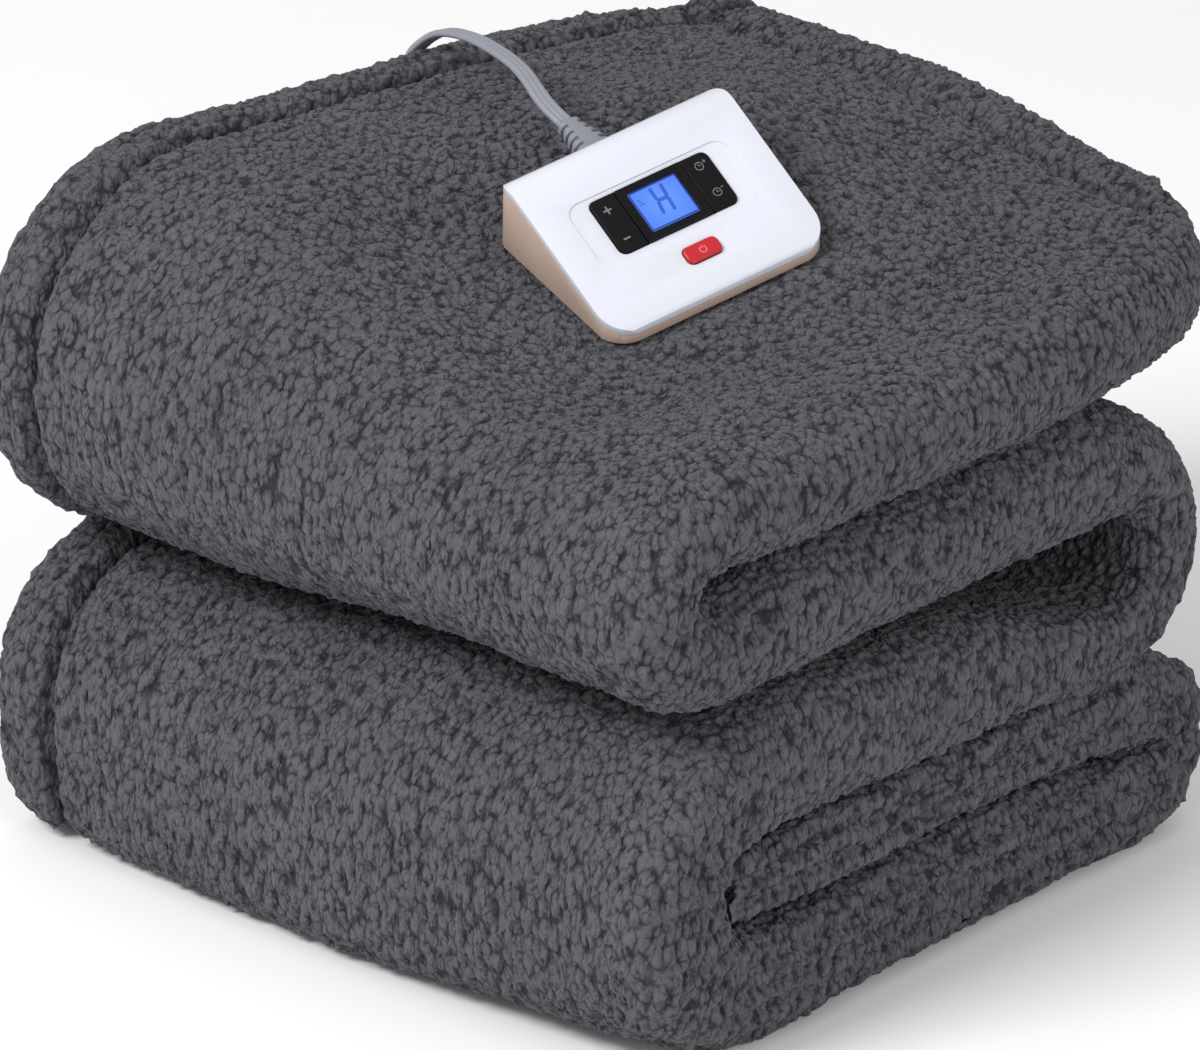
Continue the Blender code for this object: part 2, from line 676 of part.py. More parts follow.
def build_boot(parent, rubber):
    """The tapered strain relief at the back of the cover, with ring grooves near its thin end."""
    rings = [(0.0, 0.0)]
    groove_start = BOOT_LENGTH - RIB_COUNT * RIB_PITCH - 1.0 * MM
    for rib in range(RIB_COUNT):
        start = groove_start + rib * RIB_PITCH
        rings += [(start, 0.0), (start + 0.3 * MM, RIB_DEPTH)]
        rings += [(start + 1.2 * MM, RIB_DEPTH), (start + 1.5 * MM, 0.0)]
    rings += [(BOOT_LENGTH - 0.8 * MM, 0.0), (BOOT_LENGTH, 0.8 * MM)]
    bm = bmesh.new()
    loops = []
    for along, cut in rings:
        share = smooth_step(along / BOOT_LENGTH)
        wide = BOOT_WIDE + (BOOT_NARROW - BOOT_WIDE) * share - cut
        thick = BOOT_THICK + (BOOT_THIN - BOOT_THICK) * share - cut
        loop = []
        for side in range(BOOT_SIDES):
            angle = 2.0 * math.pi * side / BOOT_SIDES
            x = math.copysign(abs(math.cos(angle)) ** 0.7, math.cos(angle)) * wide
            z = math.copysign(abs(math.sin(angle)) ** 0.7, math.sin(angle)) * thick
            loop.append(bm.verts.new((x, along, z)))
        loops.append(loop)
    for loop, following in zip(loops, loops[1:]):
        for side in range(BOOT_SIDES):
            other = (side + 1) % BOOT_SIDES
            bm.faces.new((loop[side], loop[other], following[other], following[side]))
    bm.faces.new(loops[0])
    bm.faces.new(reversed(loops[-1]))
    boot = new_object("cord_boot", bm, rubber, smooth_angle=30.0)
    boot.parent = parent
    lean = BACK_LEAN * (BOOT_Z - BASE_LIP) / (face_height(BODY_DEPTH / 2.0) - BASE_LIP)
    seat = 2.2 * CLEARANCE + BOOT_THICK * math.sin(BOOT_RISE)
    boot.location = (BOOT_X, BODY_DEPTH / 2.0 - lean + seat, BOOT_Z)
    boot.rotation_euler = (BOOT_RISE, 0.0, 0.0)
    return boot


def build_tube(name, route, step, rubber):
    """A round tube through the route's points, a point every step."""
    curve_points = catmull_rom([Vector(point) * MM for point in route], 12)
    spaced = [curve_points[0]]
    walked = 0.0
    total = sum((b - a).length for a, b in zip(curve_points, curve_points[1:]))
    count = max(2, round(total / step))
    even = total / count
    for start, end in zip(curve_points, curve_points[1:]):
        length = (end - start).length
        while walked + length >= even * len(spaced) and len(spaced) < count:
            spaced.append(start.lerp(end, (even * len(spaced) - walked) / length))
        walked += length
    spaced.append(curve_points[-1])
    curve = bpy.data.curves.new(name, "CURVE")
    curve.dimensions = "3D"
    curve.bevel_depth = CORD_DIAMETER / 2.0
    curve.bevel_resolution = 2
    curve.use_fill_caps = True
    spline = curve.splines.new("POLY")
    spline.points.add(len(spaced) - 1)
    for point, place in zip(spline.points, spaced):
        point.co = (*place, 1.0)
    curve.materials.append(rubber)
    made = bpy.data.objects.new(name, curve)
    bpy.context.scene.collection.objects.link(made)
    return made


def build_coil(rubber):
    """The outer shape of the flat coil that lies on the surface behind the stack."""
    profile = (
        (COIL_INNER, 0.0),
        (COIL_OUTER, 0.0),
        (COIL_OUTER, COIL_HEIGHT),
        (COIL_INNER, COIL_HEIGHT),
    )
    bm = bmesh.new()
    loops = []
    for side in range(COIL_SIDES):
        angle = 2.0 * math.pi * side / COIL_SIDES
        along = Vector((math.cos(angle), math.sin(angle), 0.0))
        loops.append([bm.verts.new(along * radius + Vector((0.0, 0.0, z))) for radius, z in profile])
    for loop, following in zip(loops, loops[1:] + loops[:1]):
        for index in range(4):
            other = (index + 1) % 4
            bm.faces.new((loop[index], loop[other], following[other], following[index]))
    coil = new_object("cord_coil", bm, rubber)
    coil.location = (COIL_CENTRE.x, COIL_CENTRE.y, 0.0)
    return coil


def build_connector(rubber):
    """The flat connector at the cord's far end, lying in the coil's eye."""
    bm = bmesh.new()
    bmesh.ops.create_cube(bm, size=1.0)
    bmesh.ops.scale(bm, verts=bm.verts, vec=CONNECTOR_SIZE)
    bmesh.ops.bevel(bm, geom=bm.edges[:], offset=CONNECTOR_ROUND, segments=2, profile=0.5, affect="EDGES")
    connector = new_object("cord_connector", bm, rubber)
    end = Vector(END_ROUTE[-1]) * MM
    reach = CONNECTOR_SIZE.x / 2.0 + CLEARANCE
    along = Vector((math.cos(CONNECTOR_TURN), math.sin(CONNECTOR_TURN), 0.0))
    centre = end + along * reach
    connector.location = (centre.x, centre.y, CONNECTOR_SIZE.z / 2.0)
    connector.rotation_euler = (0.0, 0.0, CONNECTOR_TURN)
    return connector


def main():
    clear_scene()
    frame = controller_frame()
    build_blanket(frame)
    face = face_frame(frame)
    build_shells(frame, face)
    build_face_pieces(face)
    rubber = material("grey cord rubber", (0.33, 0.34, 0.38), 0.5)
    build_boot(frame, rubber)
    build_tube("cord_tube", CORD_ROUTE, CORD_STEP, rubber)
    build_coil(rubber)
    build_tube("cord_end", END_ROUTE, END_STEP, rubber)
    build_connector(rubber)


main()
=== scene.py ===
"""Looks of a folded electric heated blanket with its hand controller and cord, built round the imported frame.

The scene is in metres, +Z up, with the origin at the bottom centre of the folded stack.  The cloth's, the
controller's and the cord's own sizes are in millimetres.  Each sub-assembly is a class: the folded cloth, its
curled pile, the controller, the cord and the studio.
"""

import logging
import math
from dataclasses import dataclass, field
from enum import Enum
from typing import Callable, Iterable, NamedTuple, Sequence

import bmesh
import bpy
import numpy as np
from mathutils import Matrix, Vector, noise
from mathutils.bvhtree import BVHTree


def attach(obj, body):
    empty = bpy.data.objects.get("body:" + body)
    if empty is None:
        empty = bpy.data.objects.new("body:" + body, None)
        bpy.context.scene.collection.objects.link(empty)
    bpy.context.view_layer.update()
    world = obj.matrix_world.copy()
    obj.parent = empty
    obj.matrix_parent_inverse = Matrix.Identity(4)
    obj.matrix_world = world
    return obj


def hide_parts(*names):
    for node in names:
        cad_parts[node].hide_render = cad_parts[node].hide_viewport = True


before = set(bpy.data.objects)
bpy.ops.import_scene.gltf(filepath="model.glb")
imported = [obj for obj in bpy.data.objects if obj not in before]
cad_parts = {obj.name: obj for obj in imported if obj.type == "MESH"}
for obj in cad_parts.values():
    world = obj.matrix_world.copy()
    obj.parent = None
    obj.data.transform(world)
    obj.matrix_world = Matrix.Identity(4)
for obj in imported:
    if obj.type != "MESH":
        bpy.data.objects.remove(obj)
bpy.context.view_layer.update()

MM = 0.001
STACK_BODY = "stack"
NOISE_RANGE = (0.3, 0.7)
LOG = logging.getLogger("heated_blanket")


# --- colours, nodes and finishes ------------------------------------------------------------------


def linear(hex_colour: str) -> tuple[float, float, float, float]:
    """Turns an sRGB hex colour into linear red, green, blue and alpha.

    Args:
        hex_colour: six hex digits, with or without a leading #.

    Returns:
        The linear colour with an alpha of one.
    """
    digits = hex_colour.lstrip("#")
    channels = []
    for start in (0, 2, 4):
        value = int(digits[start:start + 2], 16) / 255.0
        channels.append(value / 12.92 if value <= 0.04045 else ((value + 0.055) / 1.055) ** 2.4)
    return (channels[0], channels[1], channels[2], 1.0)


def add_node(
    tree: bpy.types.NodeTree, kind: str, settings: dict | None = None, inputs: dict | None = None
) -> bpy.types.Node:
    """Adds a node with its settings, input values and links.

    Args:
        tree: the node tree that gets the node.
        kind: the node's type name.
        settings: attribute names with their values.
        inputs: input names or indices with a value, or an output socket to link from.

    Returns:
        The new node.
    """
    node = tree.nodes.new(kind)
    for name, value in (settings or {}).items():
        setattr(node, name, value)
    for key, value in (inputs or {}).items():
        socket = node.inputs[key]
        if isinstance(value, bpy.types.NodeSocket):
            tree.links.new(value, socket)
        else:
            socket.default_value = value
    return node


def new_material(name: str, shader_values: dict) -> tuple[bpy.types.Material, bpy.types.Node]:
    """Makes a material with a Principled shader.

    Args:
        name: the material's name.
        shader_values: Principled input names with their values.

    Returns:
        The material and its Principled node.
    """
    made = bpy.data.materials.new(name)
    made.use_nodes = True
    shader = made.node_tree.nodes["Principled BSDF"]
    for key, value in shader_values.items():
        shader.inputs[key].default_value = value
    return made, shader


def calculated(tree: bpy.types.NodeTree, operation: str, *values: object) -> bpy.types.NodeSocket:
    """Adds a math node for values or sockets. Returns its result."""
    inputs = dict(enumerate(values))
    return add_node(tree, "ShaderNodeMath", {"operation": operation}, inputs).outputs["Value"]


def vector_math(
    tree: bpy.types.NodeTree, operation: str, *values: object, **more: object
) -> bpy.types.NodeSocket:
    """Adds a vector math node for values or sockets, and for more inputs by name. Returns its vector."""
    inputs = dict(enumerate(values)) | {name.title(): value for name, value in more.items()}
    return add_node(tree, "ShaderNodeVectorMath", {"operation": operation}, inputs).outputs["Vector"]


def mapped(
    tree: bpy.types.NodeTree,
    value: bpy.types.NodeSocket,
    low: float = 0.0,
    high: float = 1.0,
    to_low: object = 0.0,
    to_high: float = 1.0,
    smooth: bool = False,
) -> bpy.types.NodeSocket:
    """Stretches a value from one range to another.

    Args:
        tree: the tree that gets the node.
        value: what is stretched.
        low: where its range starts.
        high: where its range ends.
        to_low: what the start becomes, as a number or a socket.
        to_high: what the end becomes.
        smooth: eases into both ends.

    Returns:
        The stretched value.
    """
    settings = {"interpolation_type": "SMOOTHSTEP" if smooth else "LINEAR"}
    inputs = {"Value": value, "From Min": low, "From Max": high, "To Min": to_low, "To Max": to_high}
    return add_node(tree, "ShaderNodeMapRange", settings, inputs).outputs["Result"]


def noise_at(
    tree: bpy.types.NodeTree,
    place: bpy.types.NodeSocket,
    per_metre: float,
    detail: float = 2.0,
    kind: str = "FBM",
    **more: float,
) -> bpy.types.Node:
    """Adds a noise texture.

    Args:
        tree: the tree that gets the node.
        place: where the surface's point lies.
        per_metre: how many lumps a metre has.
        detail: how many finer layers it has.
        kind: the noise's type.
        more: further inputs, such as roughness and distortion.

    Returns:
        The node, with a Fac and a Color output.
    """
    inputs = {"Vector": place, "Scale": per_metre, "Detail": detail}
    inputs |= {name.title(): value for name, value in more.items()}
    return add_node(tree, "ShaderNodeTexNoise", {"noise_type": kind}, inputs)


def blended(tree: bpy.types.NodeTree, share: object, first: object, second: object) -> bpy.types.NodeSocket:
    """Adds a mix of two colours by a share. Returns the colour."""
    inputs = {"Factor": share, "A": first, "B": second}
    return add_node(tree, "ShaderNodeMix", {"data_type": "RGBA"}, inputs).outputs["Result"]


def bumped(
    tree: bpy.types.NodeTree, height: object, depth: float, strength: float = 1.0, **more: object
) -> bpy.types.NodeSocket:
    """Adds a bump of a depth in metres, over another bump where normal gives one. Returns its normal."""
    inputs = {"Height": height, "Distance": depth, "Strength": strength}
    inputs |= {name.title(): value for name, value in more.items()}
    return add_node(tree, "ShaderNodeBump", inputs=inputs).outputs["Normal"]


def toned(colour: Sequence[float], gain: float) -> tuple[float, ...]:
    """A linear colour made darker or lighter, with an alpha of one."""
    return (*(min(channel * gain, 1.0) for channel in colour[:3]), 1.0)


def wired(tree: bpy.types.NodeTree, shader: bpy.types.Node, sockets: dict[str, bpy.types.NodeSocket]) -> None:
    """Links sockets to the shader's inputs of these names."""
    for name, socket in sockets.items():
        tree.links.new(socket, shader.inputs[name])


@dataclass(frozen=True)
class ClumpPattern:
    """How the pile's fibres gather: domed clumps about 4 mm across with winding curls and ruffled tips.

    The clumps differ in height and are longer along the fall.  The three layers add up to more than 1, so
    low_end and high_end say which part of their sum is stretched over the pile's full height.
    """

    clump_per_metre: float = 265.0
    fall_stretch: float = 0.6
    wander_per_metre: float = 260.0
    wander: float = 1.4 * MM
    reach: float = 0.98
    uneven: float = 0.34
    ruffle_per_metre: float = 560.0
    ruffle: float = 0.42
    curl_per_metre: float = 190.0
    curl_width: float = 0.15
    curl: float = 0.36
    curl_crease: float = 0.7
    part: float = 0.34
    part_width: float = 0.2
    part_between: tuple[float, float] = (0.35, 0.6)
    low_end: float = 0.3
    high_end: float = 1.35

    def cells(self, tree: bpy.types.NodeTree, feature: str, spot: bpy.types.NodeSocket) -> bpy.types.Node:
        """Adds the clumps' Voronoi texture with the feature that it shows. Returns its node."""
        inputs = {"Vector": spot, "Scale": self.clump_per_metre}
        return add_node(tree, "ShaderNodeTexVoronoi", {"feature": feature}, inputs)

    def add(self, tree: bpy.types.NodeTree, place: bpy.types.NodeSocket) -> tuple:
        """Adds the pattern to a shader or geometry tree.

        Args:
            tree: the tree that gets the nodes.
            place: where the surface's point lies, before the pile lifts it.

        Returns:
            The pile's height from 0 to 1, each clump's random value, the wandering place, and how far a point
            is from the creases between clumps and curls, which is 0 in them.
        """
        fallen = vector_math(tree, "MULTIPLY", place, (1.0, 1.0, self.fall_stretch))
        drift = noise_at(tree, fallen, self.wander_per_metre)
        centred = vector_math(tree, "SUBTRACT", drift.outputs["Color"], (0.5,) * 3)
        spot = vector_math(tree, "MULTIPLY_ADD", centred, (self.wander * 2.0,) * 3, fallen)

        dome = self.cells(tree, "F1", spot)
        out = mapped(tree, dome.outputs["Distance"], high=self.reach)
        crown = calculated(tree, "SUBTRACT", 1.0, calculated(tree, "MULTIPLY", out, out))
        chance = mapped(tree, dome.outputs["Color"], to_low=1.0 - self.uneven)
        grown = calculated(tree, "MULTIPLY", crown, chance)

        ruffled = noise_at(tree, spot, self.ruffle_per_metre, 1.0).outputs["Fac"]
        level = calculated(tree, "SUBTRACT", ruffled, 0.5)
        wound = noise_at(tree, fallen, self.curl_per_metre, 1.0, distortion=0.5).outputs["Fac"]
        bent = calculated(tree, "ABSOLUTE", calculated(tree, "SUBTRACT", wound, 0.5))
        curled = mapped(tree, bent, high=self.curl_width, smooth=True)
        both = calculated(tree, "MULTIPLY_ADD", curled, self.curl, grown)
        summed = calculated(tree, "MULTIPLY_ADD", level, self.ruffle, both)
        height = mapped(tree, summed, self.low_end, self.high_end)

        # The rest serves only the sherpa's colour, which paints shade into the creases between clumps and
        # curls and into the partings.
        shallow = mapped(tree, curled, to_low=self.curl_crease)
        border = self.cells(tree, "DISTANCE_TO_EDGE", spot).outputs["Distance"]
        broken = mapped(tree, drift.outputs["Fac"], *self.part_between, to_high=self.part, smooth=True)
        part = mapped(tree, border, high=self.part_width, to_low=broken, to_high=0.0, smooth=True)
        opened = calculated(tree, "MULTIPLY", crown, shallow)
        ruffled_over = calculated(tree, "MULTIPLY_ADD", level, self.ruffle, opened)
        clear = calculated(tree, "SUBTRACT", ruffled_over, part)
        return height, dome.outputs["Color"], spot, clear


@dataclass(frozen=True)
class SherpaFinish:
    """Polyester sherpa fleece, knitted and brushed into curls: matt, with a soft sheen, and painted shade that
    darkens its hollows.
    """

    name: str = "knitted sherpa fleece"
    pattern: ClumpPattern = ClumpPattern()
    tip_colour: str = "#525257"
    pale_colour: str = "#58585d"
    # Painted shade: the dark colour that the hollows between clumps are darkened towards.
    hollow_shade_colour: str = "#27272b"
    fibre_per_metre: float = 1300.0
    curl_per_metre: float = 470.0
    shade_per_metre: float = 14.0
    roughness: float = 0.92
    sheen: float = 0.15
    fibre_depth: float = 0.3 * MM
    fibre_strength: float = 0.8
    curl_depth: float = 0.5 * MM
    curl_strength: float = 0.6
    clump_depth: float = 2.8 * MM
    hollow_shade_range: tuple[float, float] = (0.05, 0.62)
    speck_gain: tuple[float, float] = (0.78, 1.2)
    cloud_gain: tuple[float, float] = (0.94, 1.06)

    def build(self) -> bpy.types.Material:
        """Makes the material: a tone for each clump, painted shade in the hollows, curls and fibres as bump.
        Returns it.
        """
        made, shader = new_material(
            self.name,
            {
                "Roughness": self.roughness,
                "Sheen Weight": self.sheen,
                "Sheen Roughness": 0.55,
                "Sheen Tint": linear("#b9b9c2"),
                "Specular IOR Level": 0.2,
            },
        )
        tree = made.node_tree
        place = add_node(tree, "ShaderNodeAttribute", {"attribute_name": "rest_place"}).outputs["Vector"]
        height, tone, spot, clear = self.pattern.add(tree, place)
        fibres = noise_at(tree, spot, self.fibre_per_metre, roughness=0.6).outputs["Fac"]
        curls = noise_at(tree, spot, self.curl_per_metre, kind="RIDGED_MULTIFRACTAL").outputs["Fac"]
        shade = noise_at(tree, place, self.shade_per_metre).outputs["Fac"]
        tips = blended(tree, tone, linear(self.tip_colour), linear(self.pale_colour))
        # Painted shade: the colour darkens towards the creases between clumps and curls.
        hollow_shaded = blended(tree, mapped(tree, clear, *self.hollow_shade_range), linear(self.hollow_shade_colour), tips)
        speck = mapped(tree, fibres, *NOISE_RANGE, *self.speck_gain)
        cloud = mapped(tree, shade, *NOISE_RANGE, *self.cloud_gain)
        shaded = vector_math(tree, "SCALE", hollow_shaded, scale=calculated(tree, "MULTIPLY", speck, cloud))
        clump_bump = bumped(tree, height, self.clump_depth)
        curl_bump = bumped(tree, curls, self.curl_depth, self.curl_strength, normal=clump_bump)
        fibre_bump = bumped(tree, fibres, self.fibre_depth, self.fibre_strength, normal=curl_bump)
        wired(tree, shader, {"Base Color": shaded, "Normal": fibre_bump})
        return made


@dataclass(frozen=True)
class MouldedFinish:
    """Injection-moulded plastic: an even colour with the mould's faint waviness and a fine grain."""

    name: str
    colour: str
    roughness: float
    grain_per_metre: float = 2600.0
    grain_depth: float = 0.012 * MM
    wave_per_metre: float = 45.0
    wave_gain: tuple[float, float] = (0.85, 1.18)
    coat: float = 0.0
    ior: float = 1.53
    shift: float = 0.04

    def build(self) -> bpy.types.Material:
        """Makes the material with grain in its bump and roughness. Returns it."""
        base = linear(self.colour)
        values = {"Base Color": base, "IOR": self.ior, "Coat Weight": self.coat, "Coat Roughness": 0.06}
        made, shader = new_material(self.name, values)
        tree = made.node_tree
        place = add_node(tree, "ShaderNodeTexCoord").outputs["Object"]
        grain = noise_at(tree, place, self.grain_per_metre).outputs["Fac"]
        wave = noise_at(tree, place, self.wave_per_metre).outputs["Fac"]
        gloss = mapped(tree, wave, *NOISE_RANGE, *(self.roughness * gain for gain in self.wave_gain))
        tint = blended(tree, wave, toned(base, 1.0 - self.shift), toned(base, 1.0 + self.shift))
        bump = bumped(tree, grain, self.grain_depth, 0.5)
        wired(tree, shader, {"Roughness": gloss, "Base Color": tint, "Normal": bump})
        return made


@dataclass(frozen=True)
class LitGlassFinish:
    """The display's clear window with its backlight: an even blue glow, a little brighter at the middle."""

    name: str = "backlit display glass"
    glow: str = "#6aa2ff"
    glow_edge: str = "#4f86f8"
    strength: float = 0.86
    radius: float = 13.0 * MM
    centre: tuple[float, float, float] = (0.0, 0.0, 0.0)

    def build(self) -> bpy.types.Material:
        """Makes the glowing material, brightest round its centre. Returns it."""
        made, shader = new_material(
            self.name,
            {
                "Base Color": linear("#1b2c6b"),
                "Roughness": 0.12,
                "Emission Strength": self.strength,
                "IOR": 1.49,
            },
        )
        tree = made.node_tree
        place = add_node(tree, "ShaderNodeTexCoord").outputs["Object"]
        centred = add_node(
            tree, "ShaderNodeVectorMath", {"operation": "DISTANCE"}, {0: place, 1: self.centre}
        )
        fade = mapped(tree, centred.outputs["Value"], high=self.radius)
        glow = blended(tree, fade, linear(self.glow), linear(self.glow_edge))
        wired(tree, shader, {"Emission Color": glow})
        return made


@dataclass(frozen=True)
class LitInkFinish:
    """A dark mark over the backlight, which lets some of its blue through: the display's segments and the
    painted shadow round the window's edge.
    """

    name: str
    glow: str
    strength: float = 0.8

    def build(self) -> bpy.types.Material:
        """Makes the mark's material with a faint mottling of its glow. Returns it."""
        made, shader = new_material(
            self.name, {"Base Color": linear("#101c50"), "Roughness": 0.3, "Emission Strength": self.strength}
        )
        tree = made.node_tree
        place = add_node(tree, "ShaderNodeTexCoord").outputs["Object"]
        mottle = noise_at(tree, place, 900.0, 1.0).outputs["Fac"]
        glow = linear(self.glow)
        wired(tree, shader, {"Emission Color": blended(tree, mottle, toned(glow, 0.9), toned(glow, 1.1))})
        return made


# --- small geometry helpers -----------------------------------------------------------------------


def smooth_step(value: float) -> float:
    """Goes from 0 to 1 with level ends."""
    value = min(max(value, 0.0), 1.0)
    return value * value * (3.0 - 2.0 * value)


def between(first: float, last: float, share: float) -> float:
    """The value at a share of the way from the first to the last."""
    return first + (last - first) * share


def mesh_object(
    name: str, vertices: Sequence, faces: Sequence, surface: bpy.types.Material, smooth_angle: float = 40.0
) -> bpy.types.Object:
    """Makes a linked mesh object at the origin.

    Args:
        name: the object's name.
        vertices: points in metres.
        faces: index tuples.
        surface: the material.
        smooth_angle: edges sharper than this many degrees stay sharp.

    Returns:
        The new object.
    """
    mesh = bpy.data.meshes.new(name)
    mesh.from_pydata([tuple(point) for point in vertices], [], faces)
    mesh.validate()
    return linked(name, mesh, surface, smooth_angle)


def linked_object(name: str, data: bpy.types.ID) -> bpy.types.Object:
    """Makes an object for a mesh, camera or light, in the scene's collection. Returns it."""
    made = bpy.data.objects.new(name, data)
    bpy.context.scene.collection.objects.link(made)
    return made


def linked(
    name: str, mesh: bpy.types.Mesh, surface: bpy.types.Material | None, smooth_angle: float = 40.0
) -> bpy.types.Object:
    """Links a mesh as an object, smooth below the angle. Returns the object."""
    mesh.shade_smooth()
    mesh.set_sharp_from_angle(angle=math.radians(smooth_angle))
    if surface is not None:
        mesh.materials.clear()
        mesh.materials.append(surface)
    return linked_object(name, mesh)


def bmesh_object(
    name: str, shape: bmesh.types.BMesh, surface: bpy.types.Material | None, smooth_angle: float = 40.0
) -> bpy.types.Object:
    """Turns a bmesh into a linked object with its faces pointing out. Returns the object."""
    bmesh.ops.recalc_face_normals(shape, faces=shape.faces)
    mesh = bpy.data.meshes.new(name)
    shape.to_mesh(mesh)
    shape.free()
    return linked(name, mesh, surface, smooth_angle)


def evaluated_mesh(made: bpy.types.Object) -> bpy.types.Mesh:
    """The object's mesh with its modifiers applied, as new data."""
    bpy.context.view_layer.update()
    graph = bpy.context.evaluated_depsgraph_get()
    return bpy.data.meshes.new_from_object(made.evaluated_get(graph), depsgraph=graph)


def baked(made: bpy.types.Object, place: Matrix, smooth_angle: float = 35.0) -> bpy.types.Object:
    """Applies the object's modifiers and its place to its mesh.

    Args:
        made: the object with live modifiers.
        place: where its mesh goes.
        smooth_angle: edges sharper than this many degrees stay sharp.

    Returns:
        The same object, plain and at the origin.
    """
    mesh = evaluated_mesh(made)
    made.modifiers.clear()
    made.data = mesh
    made.matrix_world = Matrix.Identity(4)
    mesh.transform(place)
    mesh.shade_smooth()
    mesh.set_sharp_from_angle(angle=math.radians(smooth_angle))
    mesh.name = made.name
    return made


def bridge(shape: bmesh.types.BMesh, loops: Sequence[list]) -> None:
    """Skins neighbouring loops of vertices with quads. The loops have as many vertices each."""
    for loop, following in zip(loops, loops[1:]):
        for index in range(len(loop)):
            other = (index + 1) % len(loop)
            shape.faces.new((loop[index], loop[other], following[other], following[index]))


def add_tube(shape: bmesh.types.BMesh, loops: Sequence[list]) -> None:
    """Skins loops of vertices as a body with both ends closed."""
    bridge(shape, loops)
    shape.faces.new(loops[0])
    shape.faces.new(reversed(loops[-1]))


def add_prism(shape: bmesh.types.BMesh, outline: Sequence[Vector], low: float, high: float) -> None:
    """Adds a flat outline raised between two heights, as a closed body."""
    lower, upper = ([shape.verts.new((point.x, point.y, z)) for point in outline] for z in (low, high))
    bridge(shape, (lower, upper))
    shape.faces.new(reversed(lower))
    shape.faces.new(upper)


def report(piece: bpy.types.Object) -> None:
    """Logs a finished piece with its triangles."""
    piece.data.calc_loop_triangles()
    LOG.info("%s: %d triangles", piece.name, len(piece.data.loop_triangles))


# --- folded cloth ---------------------------------------------------------------------------------


class Place(NamedTuple):
    """One cross-section of the strip, in millimetres: its front edge at -Y and its back edge at +Y."""

    front_x: float
    front_y: float
    front_z: float
    front_t: float
    back_x: float
    back_y: float
    back_z: float
    back_t: float


class Turn(NamedTuple):
    """A rounded fold between two panels: its side and its thickness at the middle, front and back."""

    side: float
    front_middle: float
    back_middle: float


class Skin(Enum):
    """Which part of the cross-section's outline a point lies on."""

    INNER = 0
    TOP = 1
    ROLL = 2
    LOW = 3
    HEM = 4


FLAP = (
    Place(210, -128, 227.5, 49, 214, 126, 235.5, 55),
    Place(203, -139, 227.5, 51, 207, 129, 237, 58),
    Place(178, -160, 227.5, 52, 180, 134, 239, 64),
    Place(134, -173, 227.5, 51, 140, 141, 242, 72),
    Place(60, -181, 226.5, 48, 62, 151, 244.5, 80),
    Place(-20, -180, 225, 46, -20, 164, 245, 82),
    Place(-80, -179, 224, 45, -65, 174, 245, 82),
    Place(-118, -176, 223, 43, -93, 180, 244, 81),
)
SECOND = (
    Place(-118, -176, 170, 44, -93, 182, 165, 71),
    Place(-80, -178, 172, 52, -60, 181, 165, 71),
    Place(0, -177, 172.5, 54, 0, 180, 165, 70),
    Place(70, -178, 172.5, 54, 70, 180, 167, 66),
    Place(115, -178, 172, 53, 113, 180, 170, 58),
)
THIRD = (
    Place(117, -176, 96.5, 30, 113, 180, 95, 34),
    Place(75, -178, 102, 36, 70, 180, 102, 50),
    Place(25, -179, 110, 50, 10, 180, 103, 50),
    Place(-40, -180, 113.5, 56, -40, 180, 102, 48),
    Place(-95, -179, 114, 55, -103, 180, 101, 46),
)
BOTTOM = (
    Place(-95, -179, 23.5, 47, -103, 180, 22.5, 45),
    Place(-40, -178, 23.5, 47, -40, 180, 22.5, 45),
    Place(30, -176, 23.5, 47, 30, 180, 22.5, 45),
    Place(90, -175, 22.5, 45, 90, 180, 22, 44),
    Place(141, -174, 19, 38, 134, 180, 18.5, 37),
)
TAIL = (
    Place(141, -173, 62, 37, 134, 176, 58, 33),
    Place(80, -173, 65, 33, 80, 178, 60, 29),
    Place(0, -174, 66.5, 33, 0, 180, 61, 28),
    Place(-70, -174, 66.5, 32, -60, 178, 61, 27),
    Place(-94, -174, 66.5, 30, -76, 176, 61, 24),
    Place(-111, -173, 67.5, 27, -90, 172, 61, 22),
)
LEFT, RIGHT = -1.0, 1.0


class Crease(NamedTuple):
    """A soft groove that the cloth's own weight or stitching presses in, in millimetres."""

    depth: float
    width: float


